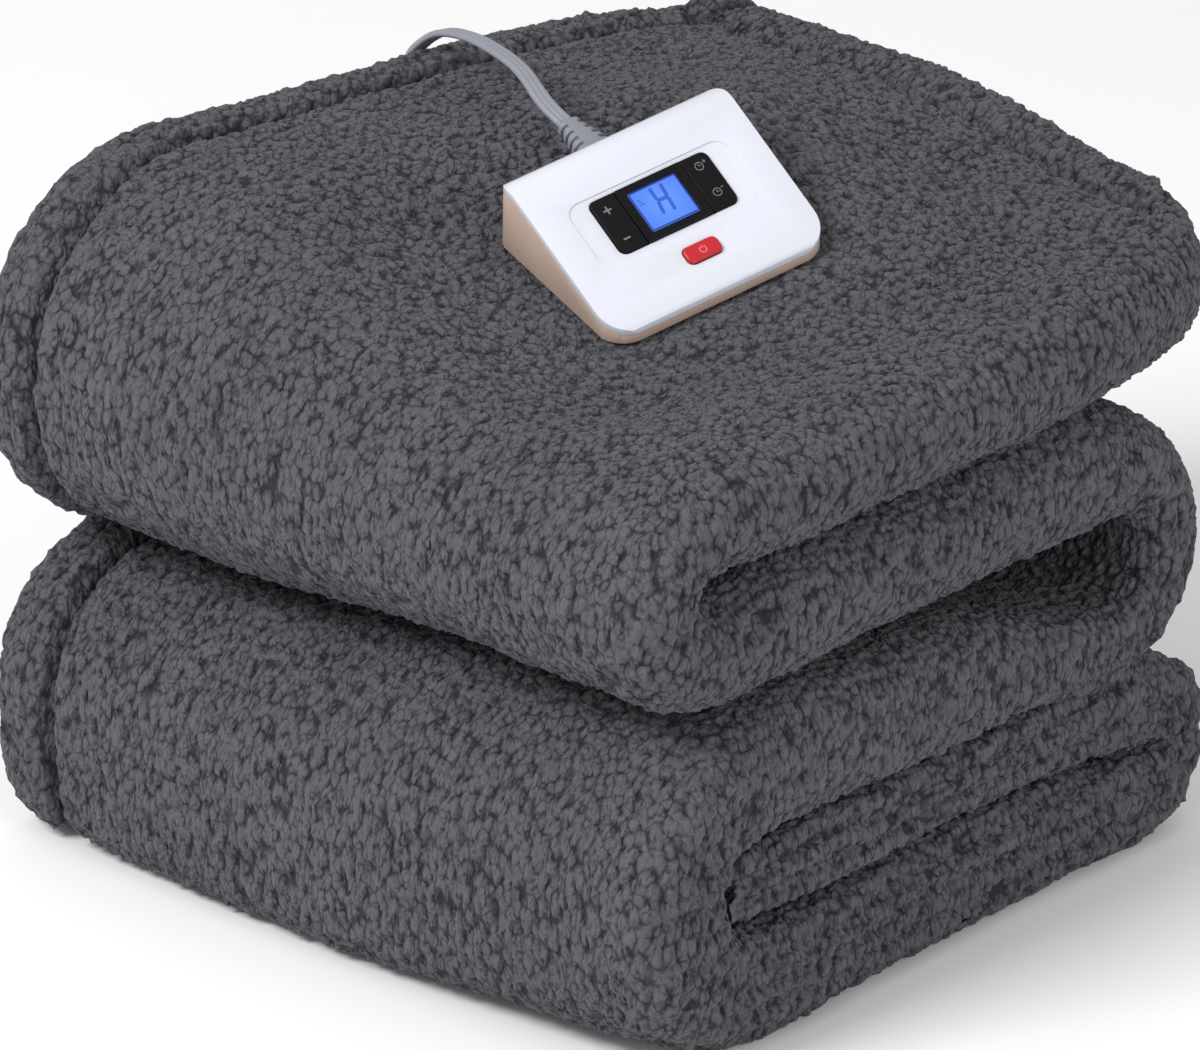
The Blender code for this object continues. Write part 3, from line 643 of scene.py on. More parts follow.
@dataclass
class FoldedCloth:
    """The blanket: one strip of three plies, folded to and fro, with its hem and creases."""

    body: str = STACK_BODY
    name: str = "folded_sherpa"
    shift: Vector = field(default_factory=lambda: Vector((-25.3, 0.25, 0.0)))
    half_depth: float = 180.0
    blend_from: float = -115.0
    blend_to: float = 75.0
    blend_skew: float = 0.22
    ply_gap: float = 2.0
    row_spacing: float = 7.0
    coarse_turn_steps: int = 7
    face_steps: int = 68
    roll_steps: int = 26
    hem_steps: int = 8
    inner_steps: int = 7
    hem_rows: int = 13
    end_rows: float = 3.6
    sag_centre: tuple[float, float] = (-95.0, -103.0)
    sag_radius: tuple[float, float] = (69.5, 62.0)
    sag_power: float = 6.0
    sag_middle: float = 50.0
    sag_reach: float = 225.0
    rest_snap: float = 1.2
    hem_inset: float = 31.0
    hem_crease: Crease = Crease(7.5, 3.2)
    hem_puff: float = 2.4
    hem_fine: float = 42.0
    hem_waver: float = 17.0
    hem_uneven: float = 0.8
    hem_thin: float = 0.6
    hem_slope: float = 0.75
    end_inset: float = 29.0
    end_puff: float = 5.0
    end_deep: tuple[float, float] = (1.2, 0.6)
    end_thin: float = 0.8
    end_squeeze: float = 0.6
    tail_squeeze: float = 0.86
    end_round: float = 15.0
    square_below: float = 150.0
    square_blend: float = 40.0
    square_power: float = 3.2
    ridge_depth: float = 1.5
    ridge_spacing: float = 11.5
    ridge_stray: float = 3.2
    ridges_below: float = 92.0
    flat_size: tuple[float, float] = (1.27, 1.52)
    press_flat: float = 8.0
    press_reach: float = 70.0
    press_below: float = 30.0 * MM
    print_depth: float = 0.6
    print_edge: float = 3.0
    bare_within: float = 0.8
    sink: float = 0.9
    least_pile: float = 0.25
    floor_gap: float = 0.05
    wave_depth: float = 1.3
    wave_per_mm: float = 1.0 / 46.0
    dimple_depth: float = 0.6
    dimple_per_mm: float = 1.0 / 15.0
    turns: tuple[Turn, ...] = (
        Turn(LEFT, 43.0, 76.0),
        Turn(RIGHT, 30.0, 34.0),
        Turn(LEFT, 50.0, 45.0),
        Turn(RIGHT, 35.0, 34.0),
    )

    def back_share(self, x: float, y: float) -> float:
        """How far a place on the strip has gone from its front shape to its back shape."""
        along = y + self.blend_skew * x - self.blend_from
        return smooth_step(along / (self.blend_to - self.blend_from))

    def turn_places(self, start: Place, end: Place, turn: Turn) -> list[Place]:
        """The rounded fold between two panels, as places along two half circles.

        Args:
            start: the last place of the panel before.
            end: the first place of the panel after.
            turn: the fold's side and thickness.

        Returns:
            The places between the two.
        """
        places = []
        for step in range(1, self.coarse_turn_steps):
            angle = math.pi * step / self.coarse_turn_steps
            share = (1.0 - math.cos(angle)) / 2.0
            swell = math.sin(angle)
            place = Place(*(between(a, b, share) for a, b in zip(start, end)))
            front_reach = turn.side * swell * abs(start.front_z - end.front_z) / 2.0
            back_reach = turn.side * swell * abs(start.back_z - end.back_z) / 2.0
            places.append(
                place._replace(
                    front_x=place.front_x + front_reach,
                    back_x=place.back_x + back_reach,
                    front_t=between(place.front_t, turn.front_middle, swell),
                    back_t=between(place.back_t, turn.back_middle, swell),
                )
            )
        return places

    def strip_places(self) -> list[Place]:
        """Every place along the strip, on a smooth path. Returns them from the hem to the tucked end."""
        places = list(FLAP)
        for turn, panel in zip(self.turns, (SECOND, THIRD, BOTTOM, TAIL)):
            places += self.turn_places(places[-1], panel[0], turn)
            places += panel
        knots = np.array(places, float)
        middles = np.stack(((knots[:, 0] + knots[:, 4]) / 2.0, (knots[:, 2] + knots[:, 6]) / 2.0), axis=1)
        spans = np.linalg.norm(np.diff(middles, axis=0), axis=1)
        slopes = np.diff(knots, axis=0) / spans[:, None]
        tangents = np.empty_like(knots)
        tangents[0], tangents[-1] = slopes[0], slopes[-1]
        weights = spans[:-1, None] + spans[1:, None]
        tangents[1:-1] = (slopes[:-1] * spans[1:, None] + slopes[1:] * spans[:-1, None]) / weights
        fine = []
        walked = 0.0
        for index, span in enumerate(spans):
            spacing = self.end_rows if walked < self.hem_fine else self.row_spacing
            walked += span
            steps = max(2, round(span / spacing))
            for step in range(steps):
                t = step / steps
                start_weight = 2 * t**3 - 3 * t**2 + 1
                start_slope = (t**3 - 2 * t**2 + t) * span
                end_weight = -2 * t**3 + 3 * t**2
                end_slope = (t**3 - t**2) * span
                row = knots[index] * start_weight + tangents[index] * start_slope
                row += knots[index + 1] * end_weight + tangents[index + 1] * end_slope
                fine.append(Place(*row))
        fine.append(Place(*knots[-1]))
        return fine

    def section_outline(self, place: Place, squeeze: float) -> list[tuple[float, float, Skin]]:
        """The cross-section: three plies joined by two rolls.

        Args:
            place: the cross-section's sizes.
            squeeze: 1 for full plies, less towards the strip's two ends.

        Returns:
            A closed list of (y, height over the middle, skin).
        """
        front, back = place.front_t, place.back_t
        middle_x = (place.front_x + place.back_x) / 2.0
        gap = self.ply_gap
        quarter = math.pi / 2.0
        low = min(max((self.square_below - place.front_z) / self.square_blend, 0.0), 1.0)
        square = 2.0 + (self.square_power - 2.0) * low

        def thickness(y: float) -> float:
            return between(front, back, self.back_share(middle_x, y))

        def ply(y: float) -> float:
            return (thickness(y) - 2.0 * gap) / 3.0

        def trim(y: float) -> float:
            return ply(y) * (1.0 - squeeze) / 2.0

        def arc(centre: tuple, radius: float, first: float, last: float, steps: int, skin: Skin) -> list:
            power = square if skin is Skin.ROLL else 2.0
            found = []
            for step in range(steps + 1):
                turn = first + (last - first) * step / steps
                across, over = math.cos(turn), math.sin(turn)
                reach = radius / (abs(across) ** power + abs(over) ** power) ** (1.0 / power)
                found.append((centre[0] + reach * across, centre[1] + reach * over, skin))
            return found

        def run(start: float, end: float, steps: int, height: Callable[[float], float], skin: Skin) -> list:
            stations = [start + (end - start) * k / steps for k in range(1, steps)]
            if skin is Skin.TOP:
                close = start - self.hem_fine
                near = [start + (close - start) * k / self.hem_rows for k in range(1, self.hem_rows)]
                far_steps = steps - self.hem_rows
                stations = near + [close + (end - close) * k / far_steps for k in range(far_steps)]
            return [(y, height(y), skin) for y in stations]

        front_ply, back_ply = ply(-self.half_depth), ply(self.half_depth)
        front_trim, back_trim = trim(-self.half_depth), trim(self.half_depth)
        roll_y = -self.half_depth + front / 2.0
        fold_outer = back_ply + gap / 2.0
        fold_y = self.half_depth - fold_outer - 1.0
        fold_n = -back / 2.0 + fold_outer
        hem_y = self.half_depth - back_ply / 2.0
        hem_n = back / 2.0 - back_ply / 2.0
        tip_y = roll_y + 2.0
        half_ply = back_ply / 2.0 - back_trim
        steps, few = self.face_steps, self.inner_steps
        inner = Skin.INNER

        over, under, turned = (-quarter, quarter), (quarter, 3.0 * quarter), (3.0 * quarter, quarter)
        fold_steps, many = self.hem_steps + 4, self.roll_steps
        outline = arc((hem_y, hem_n), half_ply, *over, self.hem_steps, Skin.HEM)
        outline += run(hem_y, roll_y, steps, lambda y: thickness(y) / 2.0 - trim(y), Skin.TOP)
        outline += arc((roll_y, 0.0), front / 2.0 - front_trim, *under, many, Skin.ROLL)
        outline += run(roll_y, fold_y, steps, lambda y: -thickness(y) / 2.0 + trim(y), Skin.LOW)
        outline += arc((fold_y, fold_n), fold_outer - back_trim, *over, fold_steps, Skin.HEM)
        outline += run(fold_y, tip_y, few, lambda y: ply(y) / 2.0 - trim(y), inner)
        outline += arc((tip_y, 0.0), front_ply / 2.0 - front_trim, *under, 4, inner)
        outline += run(tip_y, fold_y, few, lambda y: -ply(y) / 2.0 + trim(y), inner)
        outline += arc((fold_y, fold_n), gap / 2.0 + back_trim, quarter, -quarter, 4, inner)
        outline += run(fold_y, roll_y, few, lambda y: -thickness(y) / 2.0 + ply(y) - trim(y), inner)
        outline += arc((roll_y, 0.0), front_ply / 2.0 + gap + front_trim, *turned, 8, inner)
        outline += run(roll_y, hem_y, few, lambda y: thickness(y) / 2.0 - ply(y) + trim(y), inner)
        return outline

    def sagged(self, x: float, y: float, z: float) -> tuple[float, float]:
        """Squares off the lowest fold where the stack's weight presses on it. Returns the new x and z."""
        share = self.back_share(x, y)
        centre_x = between(*self.sag_centre, share)
        radius = between(*self.sag_radius, share)
        out, down = centre_x - x, radius - z
        if out > 0.0 and down > 0.0:
            reach = math.hypot(out, down)
            power = self.sag_power
            squared = ((out / reach) ** power + (down / reach) ** power) ** (-1.0 / power)
            strength = max(0.0, 1.0 - ((y - self.sag_middle) / self.sag_reach) ** 2)
            factor = 1.0 + (squared - 1.0) * strength
            x, z = centre_x - out * factor, radius - down * factor
        return x, 0.0 if z < self.rest_snap else z

    def surface(self) -> "ClothSurface":
        """Lofts the strip. Returns its points with what each one lies on."""
        places = self.strip_places()
        gone = [0.0]
        for before, after in zip(places, places[1:]):
            gone.append(gone[-1] + math.hypot(after.front_x - before.front_x, after.front_z - before.front_z))
        squeezes = []
        for far in gone:
            least = self.end_squeeze if far < gone[-1] / 2.0 else self.tail_squeeze
            near = min(min(far, gone[-1] - far) / self.end_round, 1.0)
            squeezes.append(least + (1.0 - least) * math.sqrt(1.0 - (1.0 - near) ** 2))
        points, skins, across, along, rows = [], [], [], [], []
        for index, (place, squeeze) in enumerate(zip(places, squeezes)):
            before, after = places[max(index - 1, 0)], places[min(index + 1, len(places) - 1)]
            front = Vector((after.front_x - before.front_x, after.front_z - before.front_z)).normalized()
            back = Vector((after.back_x - before.back_x, after.back_z - before.back_z)).normalized()
            front_normal, back_normal = Vector((front.y, -front.x)), Vector((back.y, -back.x))
            middle_x = (place.front_x + place.back_x) / 2.0
            for y, height, skin in self.section_outline(place, squeeze):
                share = self.back_share(middle_x, y)
                normal = front_normal.lerp(back_normal, share).normalized()
                x = between(place.front_x, place.back_x, share)
                z = between(place.front_z, place.back_z, share)
                moved = between(place.front_y, place.back_y, (y + self.half_depth) / self.half_depth / 2.0)
                x, z = self.sagged(x + normal.x * height, moved, z + normal.y * height)
                points.append((x + self.shift.x, moved + self.shift.y, z))
                skins.append(skin.value)
                across.append(y)
                along.append(gone[index])
                rows.append(index)
        ring = len(points) // len(places)
        return ClothSurface(
            points=np.array(points),
            skins=np.array(skins),
            across=np.array(across),
            along=np.array(along),
            rows=np.array(rows),
            ring=ring,
            count=len(places),
        )

    def build(self, surface: bpy.types.Material, controller: "Controller") -> "ClothSurface":
        """Makes the cloth with its hem, creases and the controller's print.

        Args:
            surface: the sherpa material.
            controller: what presses the top flat.

        Returns:
            The finished surface with its object in it.
        """
        cloth = self.surface()
        cloth.find_normals()
        self.carve(cloth)
        cloth.points += cloth.normals * (cloth.lift - self.sink)[:, None]
        self.press(cloth, controller)
        cloth.points[:, 2] = np.maximum(cloth.points[:, 2], self.floor_gap)
        made = mesh_object(self.name, cloth.points * MM, cloth.faces(), surface, 80.0)
        rest = (cloth.points * MM).astype(np.float32).ravel()
        made.data.attributes.new("rest_place", "FLOAT_VECTOR", "POINT").data.foreach_set("vector", rest)
        cloth.made = made
        cloth.find_exposure()
        report(made)
        return cloth

    def carve(self, cloth: "ClothSurface") -> None:
        """Works out how far each point is pushed in or out by the stitching, the slack and the ridges."""
        lift = np.zeros(len(cloth.points))
        pile = np.ones(len(cloth.points))
        top = cloth.skins == Skin.TOP.value
        stitch_y = self.half_depth - self.hem_inset
        uneven = np.array([noise.noise(Vector((a / self.hem_waver, 3.0, 5.0))) for a in cloth.along])
        near = np.exp(-(((cloth.across - stitch_y) / self.hem_crease.width) ** 2)) * top
        band = np.clip((cloth.across - stitch_y) / self.hem_inset, 0.0, 1.0) * (cloth.skins != Skin.LOW.value)
        puffed = np.sin(math.pi * np.minimum(band, self.hem_slope) / self.hem_slope)
        lift += self.hem_puff * puffed * (band > 0.0)
        lift -= near * self.hem_crease.depth * (1.0 + self.hem_uneven * uneven)
        pile -= self.hem_thin * near
        first = cloth.rows < cloth.rows[np.argmax(cloth.along > 2.0 * self.end_inset)]
        ends = np.exp(-(((cloth.along - self.end_inset) / self.hem_crease.width) ** 2)) * top * first
        wavering = np.array([noise.noise(Vector((7.0, y / self.hem_waver, 1.0))) for y in cloth.across])
        tail = np.clip(1.0 - cloth.along / self.end_inset, 0.0, 1.0) * top * first
        lift += self.end_puff * np.sin(math.pi * tail)
        lift -= ends * self.hem_crease.depth * (self.end_deep[0] + self.end_deep[1] * wavering)
        pile -= self.end_thin * ends
        outer = cloth.skins != Skin.INNER.value
        for index in np.nonzero(outer)[0]:
            point = Vector(cloth.points[index])
            lift[index] += self.wave_depth * noise.noise(point * self.wave_per_mm)
            lift[index] += self.dimple_depth * noise.noise(point * self.dimple_per_mm)
        rolls = (cloth.skins == Skin.ROLL.value) & (cloth.points[:, 2] < self.ridges_below)
        for index in np.nonzero(rolls)[0]:
            x, _, z = cloth.points[index]
            stray = self.ridge_stray * noise.noise(Vector((x / 60.0, 2.0, z / 25.0)))
            lift[index] += self.ridge_depth * math.cos(2.0 * math.pi * z / self.ridge_spacing + stray)
        cloth.lift, cloth.pile = lift, np.clip(pile, self.least_pile, 1.0)

    def press(self, cloth: "ClothSurface", controller: "Controller") -> None:
        """Brings the top cloth under and round the controller to the plane of its base."""
        place = controller.place()
        inverse = np.array(place.inverted())
        flat = (cloth.points * MM) @ inverse[:3, :3].T + inverse[:3, 3]
        out_x = np.maximum(np.abs(flat[:, 0]) / MM - controller.width / 2.0, 0.0)
        out_y = np.maximum(np.abs(flat[:, 1]) / MM - controller.depth / 2.0, 0.0)
        reach = np.hypot(out_x, out_y)
        share = np.clip((reach - self.press_flat) / self.press_reach, 0.0, 1.0)
        strength = 1.0 - share * share * (3.0 - 2.0 * share)
        top = (cloth.skins == Skin.TOP.value) & (np.abs(flat[:, 2]) < self.press_below)
        under = np.clip((self.print_edge - reach) / self.print_edge, 0.0, 1.0)
        keep = np.clip(reach / 40.0, 0.12, 1.0)
        target = (0.3 - self.sink - (self.print_depth + 0.4) * under) + cloth.lift * keep
        drop = (flat[:, 2] / MM - target) / place.col[2].z
        cloth.points[:, 2] -= np.where(top, drop * strength, 0.0)
        footprint = top & (reach < self.bare_within)
        rim = np.clip((reach - self.bare_within) / 5.0, 0.0, 1.0)
        cloth.pile = np.where(top, cloth.pile * (0.55 + 0.45 * rim), cloth.pile)
        cloth.pile[footprint] = 0.0


@dataclass
class ClothSurface:
    """The cloth's points as arrays, with what each one lies on."""

    points: np.ndarray
    skins: np.ndarray
    across: np.ndarray
    along: np.ndarray
    rows: np.ndarray
    ring: int
    count: int
    ring_rays: int = 6
    ray_lean: float = 0.62
    ray_start: float = 0.4 * MM
    ray_reach: float = 0.3
    normals: np.ndarray | None = None
    lift: np.ndarray | None = None
    pile: np.ndarray | None = None
    exposure: np.ndarray | None = None
    made: bpy.types.Object | None = None

    def faces(self) -> list[tuple[int, ...]]:
        """The quads between neighbouring rings and the two end faces, pointing out."""
        faces = []
        for row in range(self.count - 1):
            start, following = row * self.ring, (row + 1) * self.ring
            for index in range(self.ring):
                other = (index + 1) % self.ring
                faces.append((start + other, start + index, following + index, following + other))
        faces.append(tuple(range(self.ring)))
        last = (self.count - 1) * self.ring
        faces.append(tuple(last + index for index in reversed(range(self.ring))))
        return faces

    def find_normals(self) -> None:
        """Works out the smooth normals of the bare loft."""
        grid = self.points.reshape(self.count, self.ring, 3)
        around = np.roll(grid, -1, axis=1) - np.roll(grid, 1, axis=1)
        forward = np.empty_like(grid)
        forward[1:-1] = grid[2:] - grid[:-2]
        forward[0], forward[-1] = grid[1] - grid[0], grid[-1] - grid[-2]
        normals = np.cross(forward, around)
        lengths = np.maximum(np.linalg.norm(normals, axis=2, keepdims=True), 1e-9)
        self.normals = (normals / lengths).reshape(-1, 3)

    def find_exposure(self) -> None:
        """Finds how exposed each point is, by the share of rays that leave the stack from it or beside it."""
        mesh = self.made.data
        mesh.calc_loop_triangles()
        corners = [tuple(point) for point in self.points * MM]
        tree = BVHTree.FromPolygons(corners, [tuple(t.vertices) for t in mesh.loop_triangles])
        self.normals = np.array([v.normal[:] for v in mesh.vertices])
        exposure = np.zeros(len(corners))
        grid_index = np.arange(len(corners)) % self.ring
        for index in np.nonzero(self.skins != Skin.INNER.value)[0]:
            if (self.rows[index] + grid_index[index]) % 2:
                continue
            normal = Vector(self.normals[index])
            side = normal.orthogonal().normalized()
            start = Vector(corners[index]) + normal * self.ray_start
            directions = [normal]
            for step in range(1, self.ring_rays + 1):
                lean = Matrix.Rotation(math.pi * step / (self.ring_rays / 2.0), 3, normal) @ side
                directions.append((normal * self.ray_lean + lean).normalized())
            free = sum(tree.ray_cast(start, way, self.ray_reach)[0] is None for way in directions)
            exposure[index] = free / len(directions)
        spread = exposure.reshape(self.count, self.ring)
        spread = np.maximum(spread, np.roll(spread, 1, axis=1))
        spread[1:] = np.maximum(spread[1:], spread[:-1])
        self.exposure = spread.reshape(-1)


# --- curled pile ----------------------------------------------------------------------------------


@dataclass
class CurledPile:
    """The sherpa's clumped pile, raised by Geometry Nodes over every part of the cloth that shows."""

    body: str = STACK_BODY
    pattern: ClumpPattern = ClumpPattern()
    levels: int = 2
    depth: float = 2.6 * MM
    stand: float = 0.9 * MM
    tuck: float = 0.5 * MM
    swell: float = 2.6 * MM
    swell_per_metre: float = 130.0
    least_exposure: float = 0.06
    full_exposure: float = 0.3
    lowest: float = 0.3 * MM
    top_split: float = -5.0
    top_from: float = 0.7
    under_from: float = -0.85
    floor_band: float = 12.0

    def zone_object(self, cloth: ClothSurface, name: str, chosen: np.ndarray) -> bpy.types.Object:
        """Copies some of the cloth's faces as a carrier for the pile.

        Args:
            cloth: the finished cloth surface.
            name: the zone's name.
            chosen: which of the cloth's faces to take.

        Returns:
            An open sheet that holds how long the pile is, and which way it stands, at each point.
        """
        faces = [tuple(cloth.made.data.polygons[index].vertices) for index in chosen]
        used = sorted({corner for face in faces for corner in face})
        order = {corner: place for place, corner in enumerate(used)}
        mesh = bpy.data.meshes.new(name)
        points = [tuple(cloth.points[corner] * MM) for corner in used]
        mesh.from_pydata(points, [], [tuple(order[corner] for corner in face) for face in faces])
        shown = np.clip(cloth.exposure[used] / self.full_exposure, 0.0, 1.0)
        pile = (cloth.pile[used] * shown).astype(np.float32)
        mesh.attributes.new("pile_length", "FLOAT", "POINT").data.foreach_set("value", pile)
        upright = cloth.normals[used].astype(np.float32).ravel()
        mesh.attributes.new("pile_upright", "FLOAT_VECTOR", "POINT").data.foreach_set("vector", upright)
        mesh.shade_smooth()
        return linked_object(name, mesh)

    def tree(self, surface: bpy.types.Material) -> bpy.types.NodeTree:
        """Builds the node tree that raises the pile.

        Args:
            surface: the sherpa material.

        Returns:
            A tree with inputs for its fineness, depth and swell.
        """
        group = bpy.data.node_groups.new("clumped pile", "GeometryNodeTree")
        interface = group.interface
        interface.new_socket(name="Geometry", in_out="INPUT", socket_type="NodeSocketGeometry")
        interface.new_socket(name="Levels", in_out="INPUT", socket_type="NodeSocketInt")
        for name in ("Depth", "Stand", "Tuck", "Swell", "Lowest"):
            interface.new_socket(name=name, in_out="INPUT", socket_type="NodeSocketFloat")
        interface.new_socket(name="Geometry", in_out="OUTPUT", socket_type="NodeSocketGeometry")
        given = add_node(group, "NodeGroupInput").outputs
        fine = add_node(
            group, "GeometryNodeSubdivideMesh", inputs={"Mesh": given["Geometry"], "Level": given["Levels"]}
        )
        place = add_node(group, "GeometryNodeInputPosition").outputs["Position"]
        noted = add_node(
            group,
            "GeometryNodeStoreNamedAttribute",
            {"data_type": "FLOAT_VECTOR", "domain": "POINT"},
            {"Geometry": fine.outputs["Mesh"], "Name": "rest_place", "Value": place},
        )
        rest, length, upright = (
            add_node(group, "GeometryNodeInputNamedAttribute", {"data_type": kind}, {"Name": name})
            .outputs["Attribute"]
            for name, kind in (
                ("rest_place", "FLOAT_VECTOR"),
                ("pile_length", "FLOAT"),
                ("pile_upright", "FLOAT_VECTOR"),
            )
        )
        height = self.pattern.add(group, rest)[0]
        slack = noise_at(group, rest, self.swell_per_metre).outputs["Fac"]
        centred = calculated(group, "SUBTRACT", slack, 0.5)
        swollen = calculated(group, "MULTIPLY_ADD", centred, given["Swell"], given["Stand"])
        raised = calculated(group, "MULTIPLY_ADD", height, given["Depth"], swollen)
        grown = calculated(group, "MULTIPLY", raised, length)
        lifted = calculated(group, "SUBTRACT", grown, given["Tuck"])
        moved = vector_math(group, "ADD", rest, vector_math(group, "SCALE", upright, scale=lifted))
        floor = add_node(group, "ShaderNodeCombineXYZ", inputs={"X": -10.0, "Y": -10.0, "Z": given["Lowest"]})
        kept = vector_math(group, "MAXIMUM", moved, floor.outputs["Vector"])
        standing = add_node(
            group, "GeometryNodeSetPosition", inputs={"Geometry": noted.outputs["Geometry"], "Position": kept}
        )
        real = add_node(
            group, "GeometryNodeRealizeInstances", inputs={"Geometry": standing.outputs["Geometry"]}
        )
        dressed = add_node(
            group,
            "GeometryNodeSetMaterial",
            inputs={"Geometry": real.outputs["Geometry"], "Material": surface},
        )
        add_node(group, "NodeGroupOutput", inputs={"Geometry": dressed.outputs["Geometry"]})
        return group

    def build(self, cloth: ClothSurface, surface: bpy.types.Material) -> list[bpy.types.Object]:
        """Covers the cloth with pile, one piece for each side of the stack.

        Args:
            cloth: the finished cloth surface.
            surface: the sherpa material.

        Returns:
            The pile's pieces.
        """
        group = self.tree(surface)
        inputs = (item for item in group.interface.items_tree if item.in_out == "INPUT")
        sockets = {item.name: item.identifier for item in inputs}
        sizes = {
            "Levels": self.levels,
            "Depth": self.depth,
            "Stand": self.stand,
            "Tuck": self.tuck,
            "Swell": self.swell,
            "Lowest": self.lowest,
        }
        pieces = []
        for side, chosen in self.zones(cloth).items():
            carrier = self.zone_object(cloth, f"pile_{side}", chosen)
            modifier = carrier.modifiers.new("clumped pile", "NODES")
            modifier.node_group = group
            for name, value in sizes.items():
                modifier[sockets[name]] = value
            mesh = evaluated_mesh(carrier)
            bpy.data.objects.remove(carrier)
            mesh.name = f"pile_{side}"
            piece = linked_object(f"pile_{side}", mesh)
            report(piece)
            pieces.append(piece)
        return pieces

    def zones(self, cloth: ClothSurface) -> dict[str, np.ndarray]:
        """Sorts the cloth's visible faces by the way they look. Returns their indices by side."""
        polygons = cloth.made.data.polygons
        quads = np.array([len(polygon.vertices) == 4 for polygon in polygons])
        corners = np.array([
            polygon.vertices[:4] if len(polygon.vertices) >= 4 else (0,) * 4 for polygon in polygons
        ])
        seen = cloth.exposure[corners].max(axis=1) > self.least_exposure
        grown = cloth.pile[corners].max(axis=1) > 0.0
        x, y, z = np.array([polygon.normal[:] for polygon in polygons]).T
        heights = cloth.points[corners, 2].mean(axis=1)
        outside = seen & grown & quads & ((z > self.under_from) | (heights > self.floor_band))
        middles = cloth.points[corners, 0].mean(axis=1)
        top = z > self.top_from
        sides = {
            "top_near": top & (middles < self.top_split),
            "top_far": top & (middles >= self.top_split),
            "front": ~top & (y < -np.abs(x)),
            "back": ~top & (y > np.abs(x)),
            "left": ~top & (x <= -np.abs(y)),
            "right": ~top & (x >= np.abs(y)),
        }
        return {side: np.nonzero(outside & mask)[0] for side, mask in sides.items()}


# --- controller -----------------------------------------------------------------------------------


def filleted(corners: Sequence[Vector], radii: Sequence[float], steps: int = 10) -> list[Vector]:
    """Rounds the inner corners of an open outline.

    Args:
        corners: the outline's corners.
        radii: one radius for each inner corner.
        steps: points in each rounding.

    Returns:
        The outline with its corners rounded.
    """
    outline = [corners[0]]
    for before, corner, after, radius in zip(corners, corners[1:], corners[2:], radii):
        to_before = (before - corner).normalized()
        to_after = (after - corner).normalized()
        half = to_before.angle(to_after) / 2.0
        centre = corner + (to_before + to_after).normalized() * (radius / math.sin(half))
        spoke = corner + to_before * (radius / math.tan(half)) - centre
        sweep = math.copysign(math.pi - 2.0 * half, to_after.cross(to_before))
        outline += [centre + Matrix.Rotation(sweep * step / steps, 2) @ spoke for step in range(steps + 1)]
    outline.append(corners[-1])
    return outline


def cornered(
    left: float, right: float, low: float, high: float, radii: Sequence[float], steps: int = 8
) -> list[Vector]:
    """A rectangle's outline with its own radius at each corner, from the far right one round to the left.

    Args:
        left: lowest x.
        right: highest x.
        low: lowest y.
        high: highest y.
        radii: far right, far left, near left and near right radius.
        steps: points in each rounding.

    Returns:
        The closed outline.
    """
    corners = ((right, high, -1, -1), (left, high, 1, -1), (left, low, 1, 1), (right, low, -1, 1))
    outline = []
    for quarter, ((x, y, in_x, in_y), radius) in enumerate(zip(corners, radii)):
        centre = Vector((x + in_x * radius, y + in_y * radius))
        for step in range(steps + 1):
            angle = math.pi / 2.0 * (quarter + step / steps)
            outline.append(centre + Vector((math.cos(angle), math.sin(angle))) * radius)
    return outline


def rounded(
    wide: float, deep: float, radius: float, steps: int = 8, at: tuple[float, float] = (0.0, 0.0)
) -> list[Vector]:
    """The outline of a rectangle round a point, by half its width and depth, with like corners."""
    x, y = at
    return cornered(x - wide, x + wide, y - deep, y + deep, (radius,) * 4, steps)


def plate(outline: Sequence[Vector], low: float, high: float) -> bmesh.types.BMesh:
    """Raises a flat outline into a closed plate between two heights. Returns its bmesh."""
    shape = bmesh.new()
    add_prism(shape, outline, low, high)
    return shape


class Symbol(Enum):
    """What is printed on a key or the button."""

    PLUS = "plus"
    MINUS = "minus"
    CLOCK_MORE = "clock_more"
    CLOCK_LESS = "clock_less"
    POWER = "power"


class Stroke(NamedTuple):
    """One printed bar of a symbol, in millimetres from the symbol's centre."""

    start_x: float
    start_y: float
    end_x: float
    end_y: float
    width: float


class Hoop(NamedTuple):
    """One printed ring of a symbol, in millimetres, with half the angle of the gap at its far side."""

    centre_x: float
    radius: float
    width: float
    opening: float


CLOCK_STROKES = (
    Stroke(-0.7, 0.0, -0.7, 1.15, 0.3),
    Stroke(-0.5, 0.0, 0.25, 0.0, 0.3),
    Stroke(1.6, 1.3, 2.19, 1.3, 0.32),
    Stroke(2.51, 1.3, 3.1, 1.3, 0.32),
)
STROKES = {
    Symbol.PLUS: (
        Stroke(-1.9, 0.0, -0.36, 0.0, 0.72),
        Stroke(0.36, 0.0, 1.9, 0.0, 0.72),
        Stroke(0.0, -1.9, 0.0, 1.9, 0.7),
    ),
    Symbol.MINUS: (Stroke(-1.6, 0.0, 1.6, 0.0, 0.72),),
    Symbol.POWER: (Stroke(0.0, 0.35, 0.0, 1.85, 0.42),),
    Symbol.CLOCK_MORE: (*CLOCK_STROKES, Stroke(2.35, 0.55, 2.35, 2.05, 0.32)),
    Symbol.CLOCK_LESS: (*CLOCK_STROKES, Stroke(2.19, 1.3, 2.51, 1.3, 0.32)),
}
HOOPS = {
    Symbol.POWER: Hoop(0.0, 1.45, 0.42, 0.6),
    Symbol.CLOCK_MORE: Hoop(-0.7, 1.75, 0.34, 0.0),
    Symbol.CLOCK_LESS: Hoop(-0.7, 1.75, 0.34, 0.0),
}


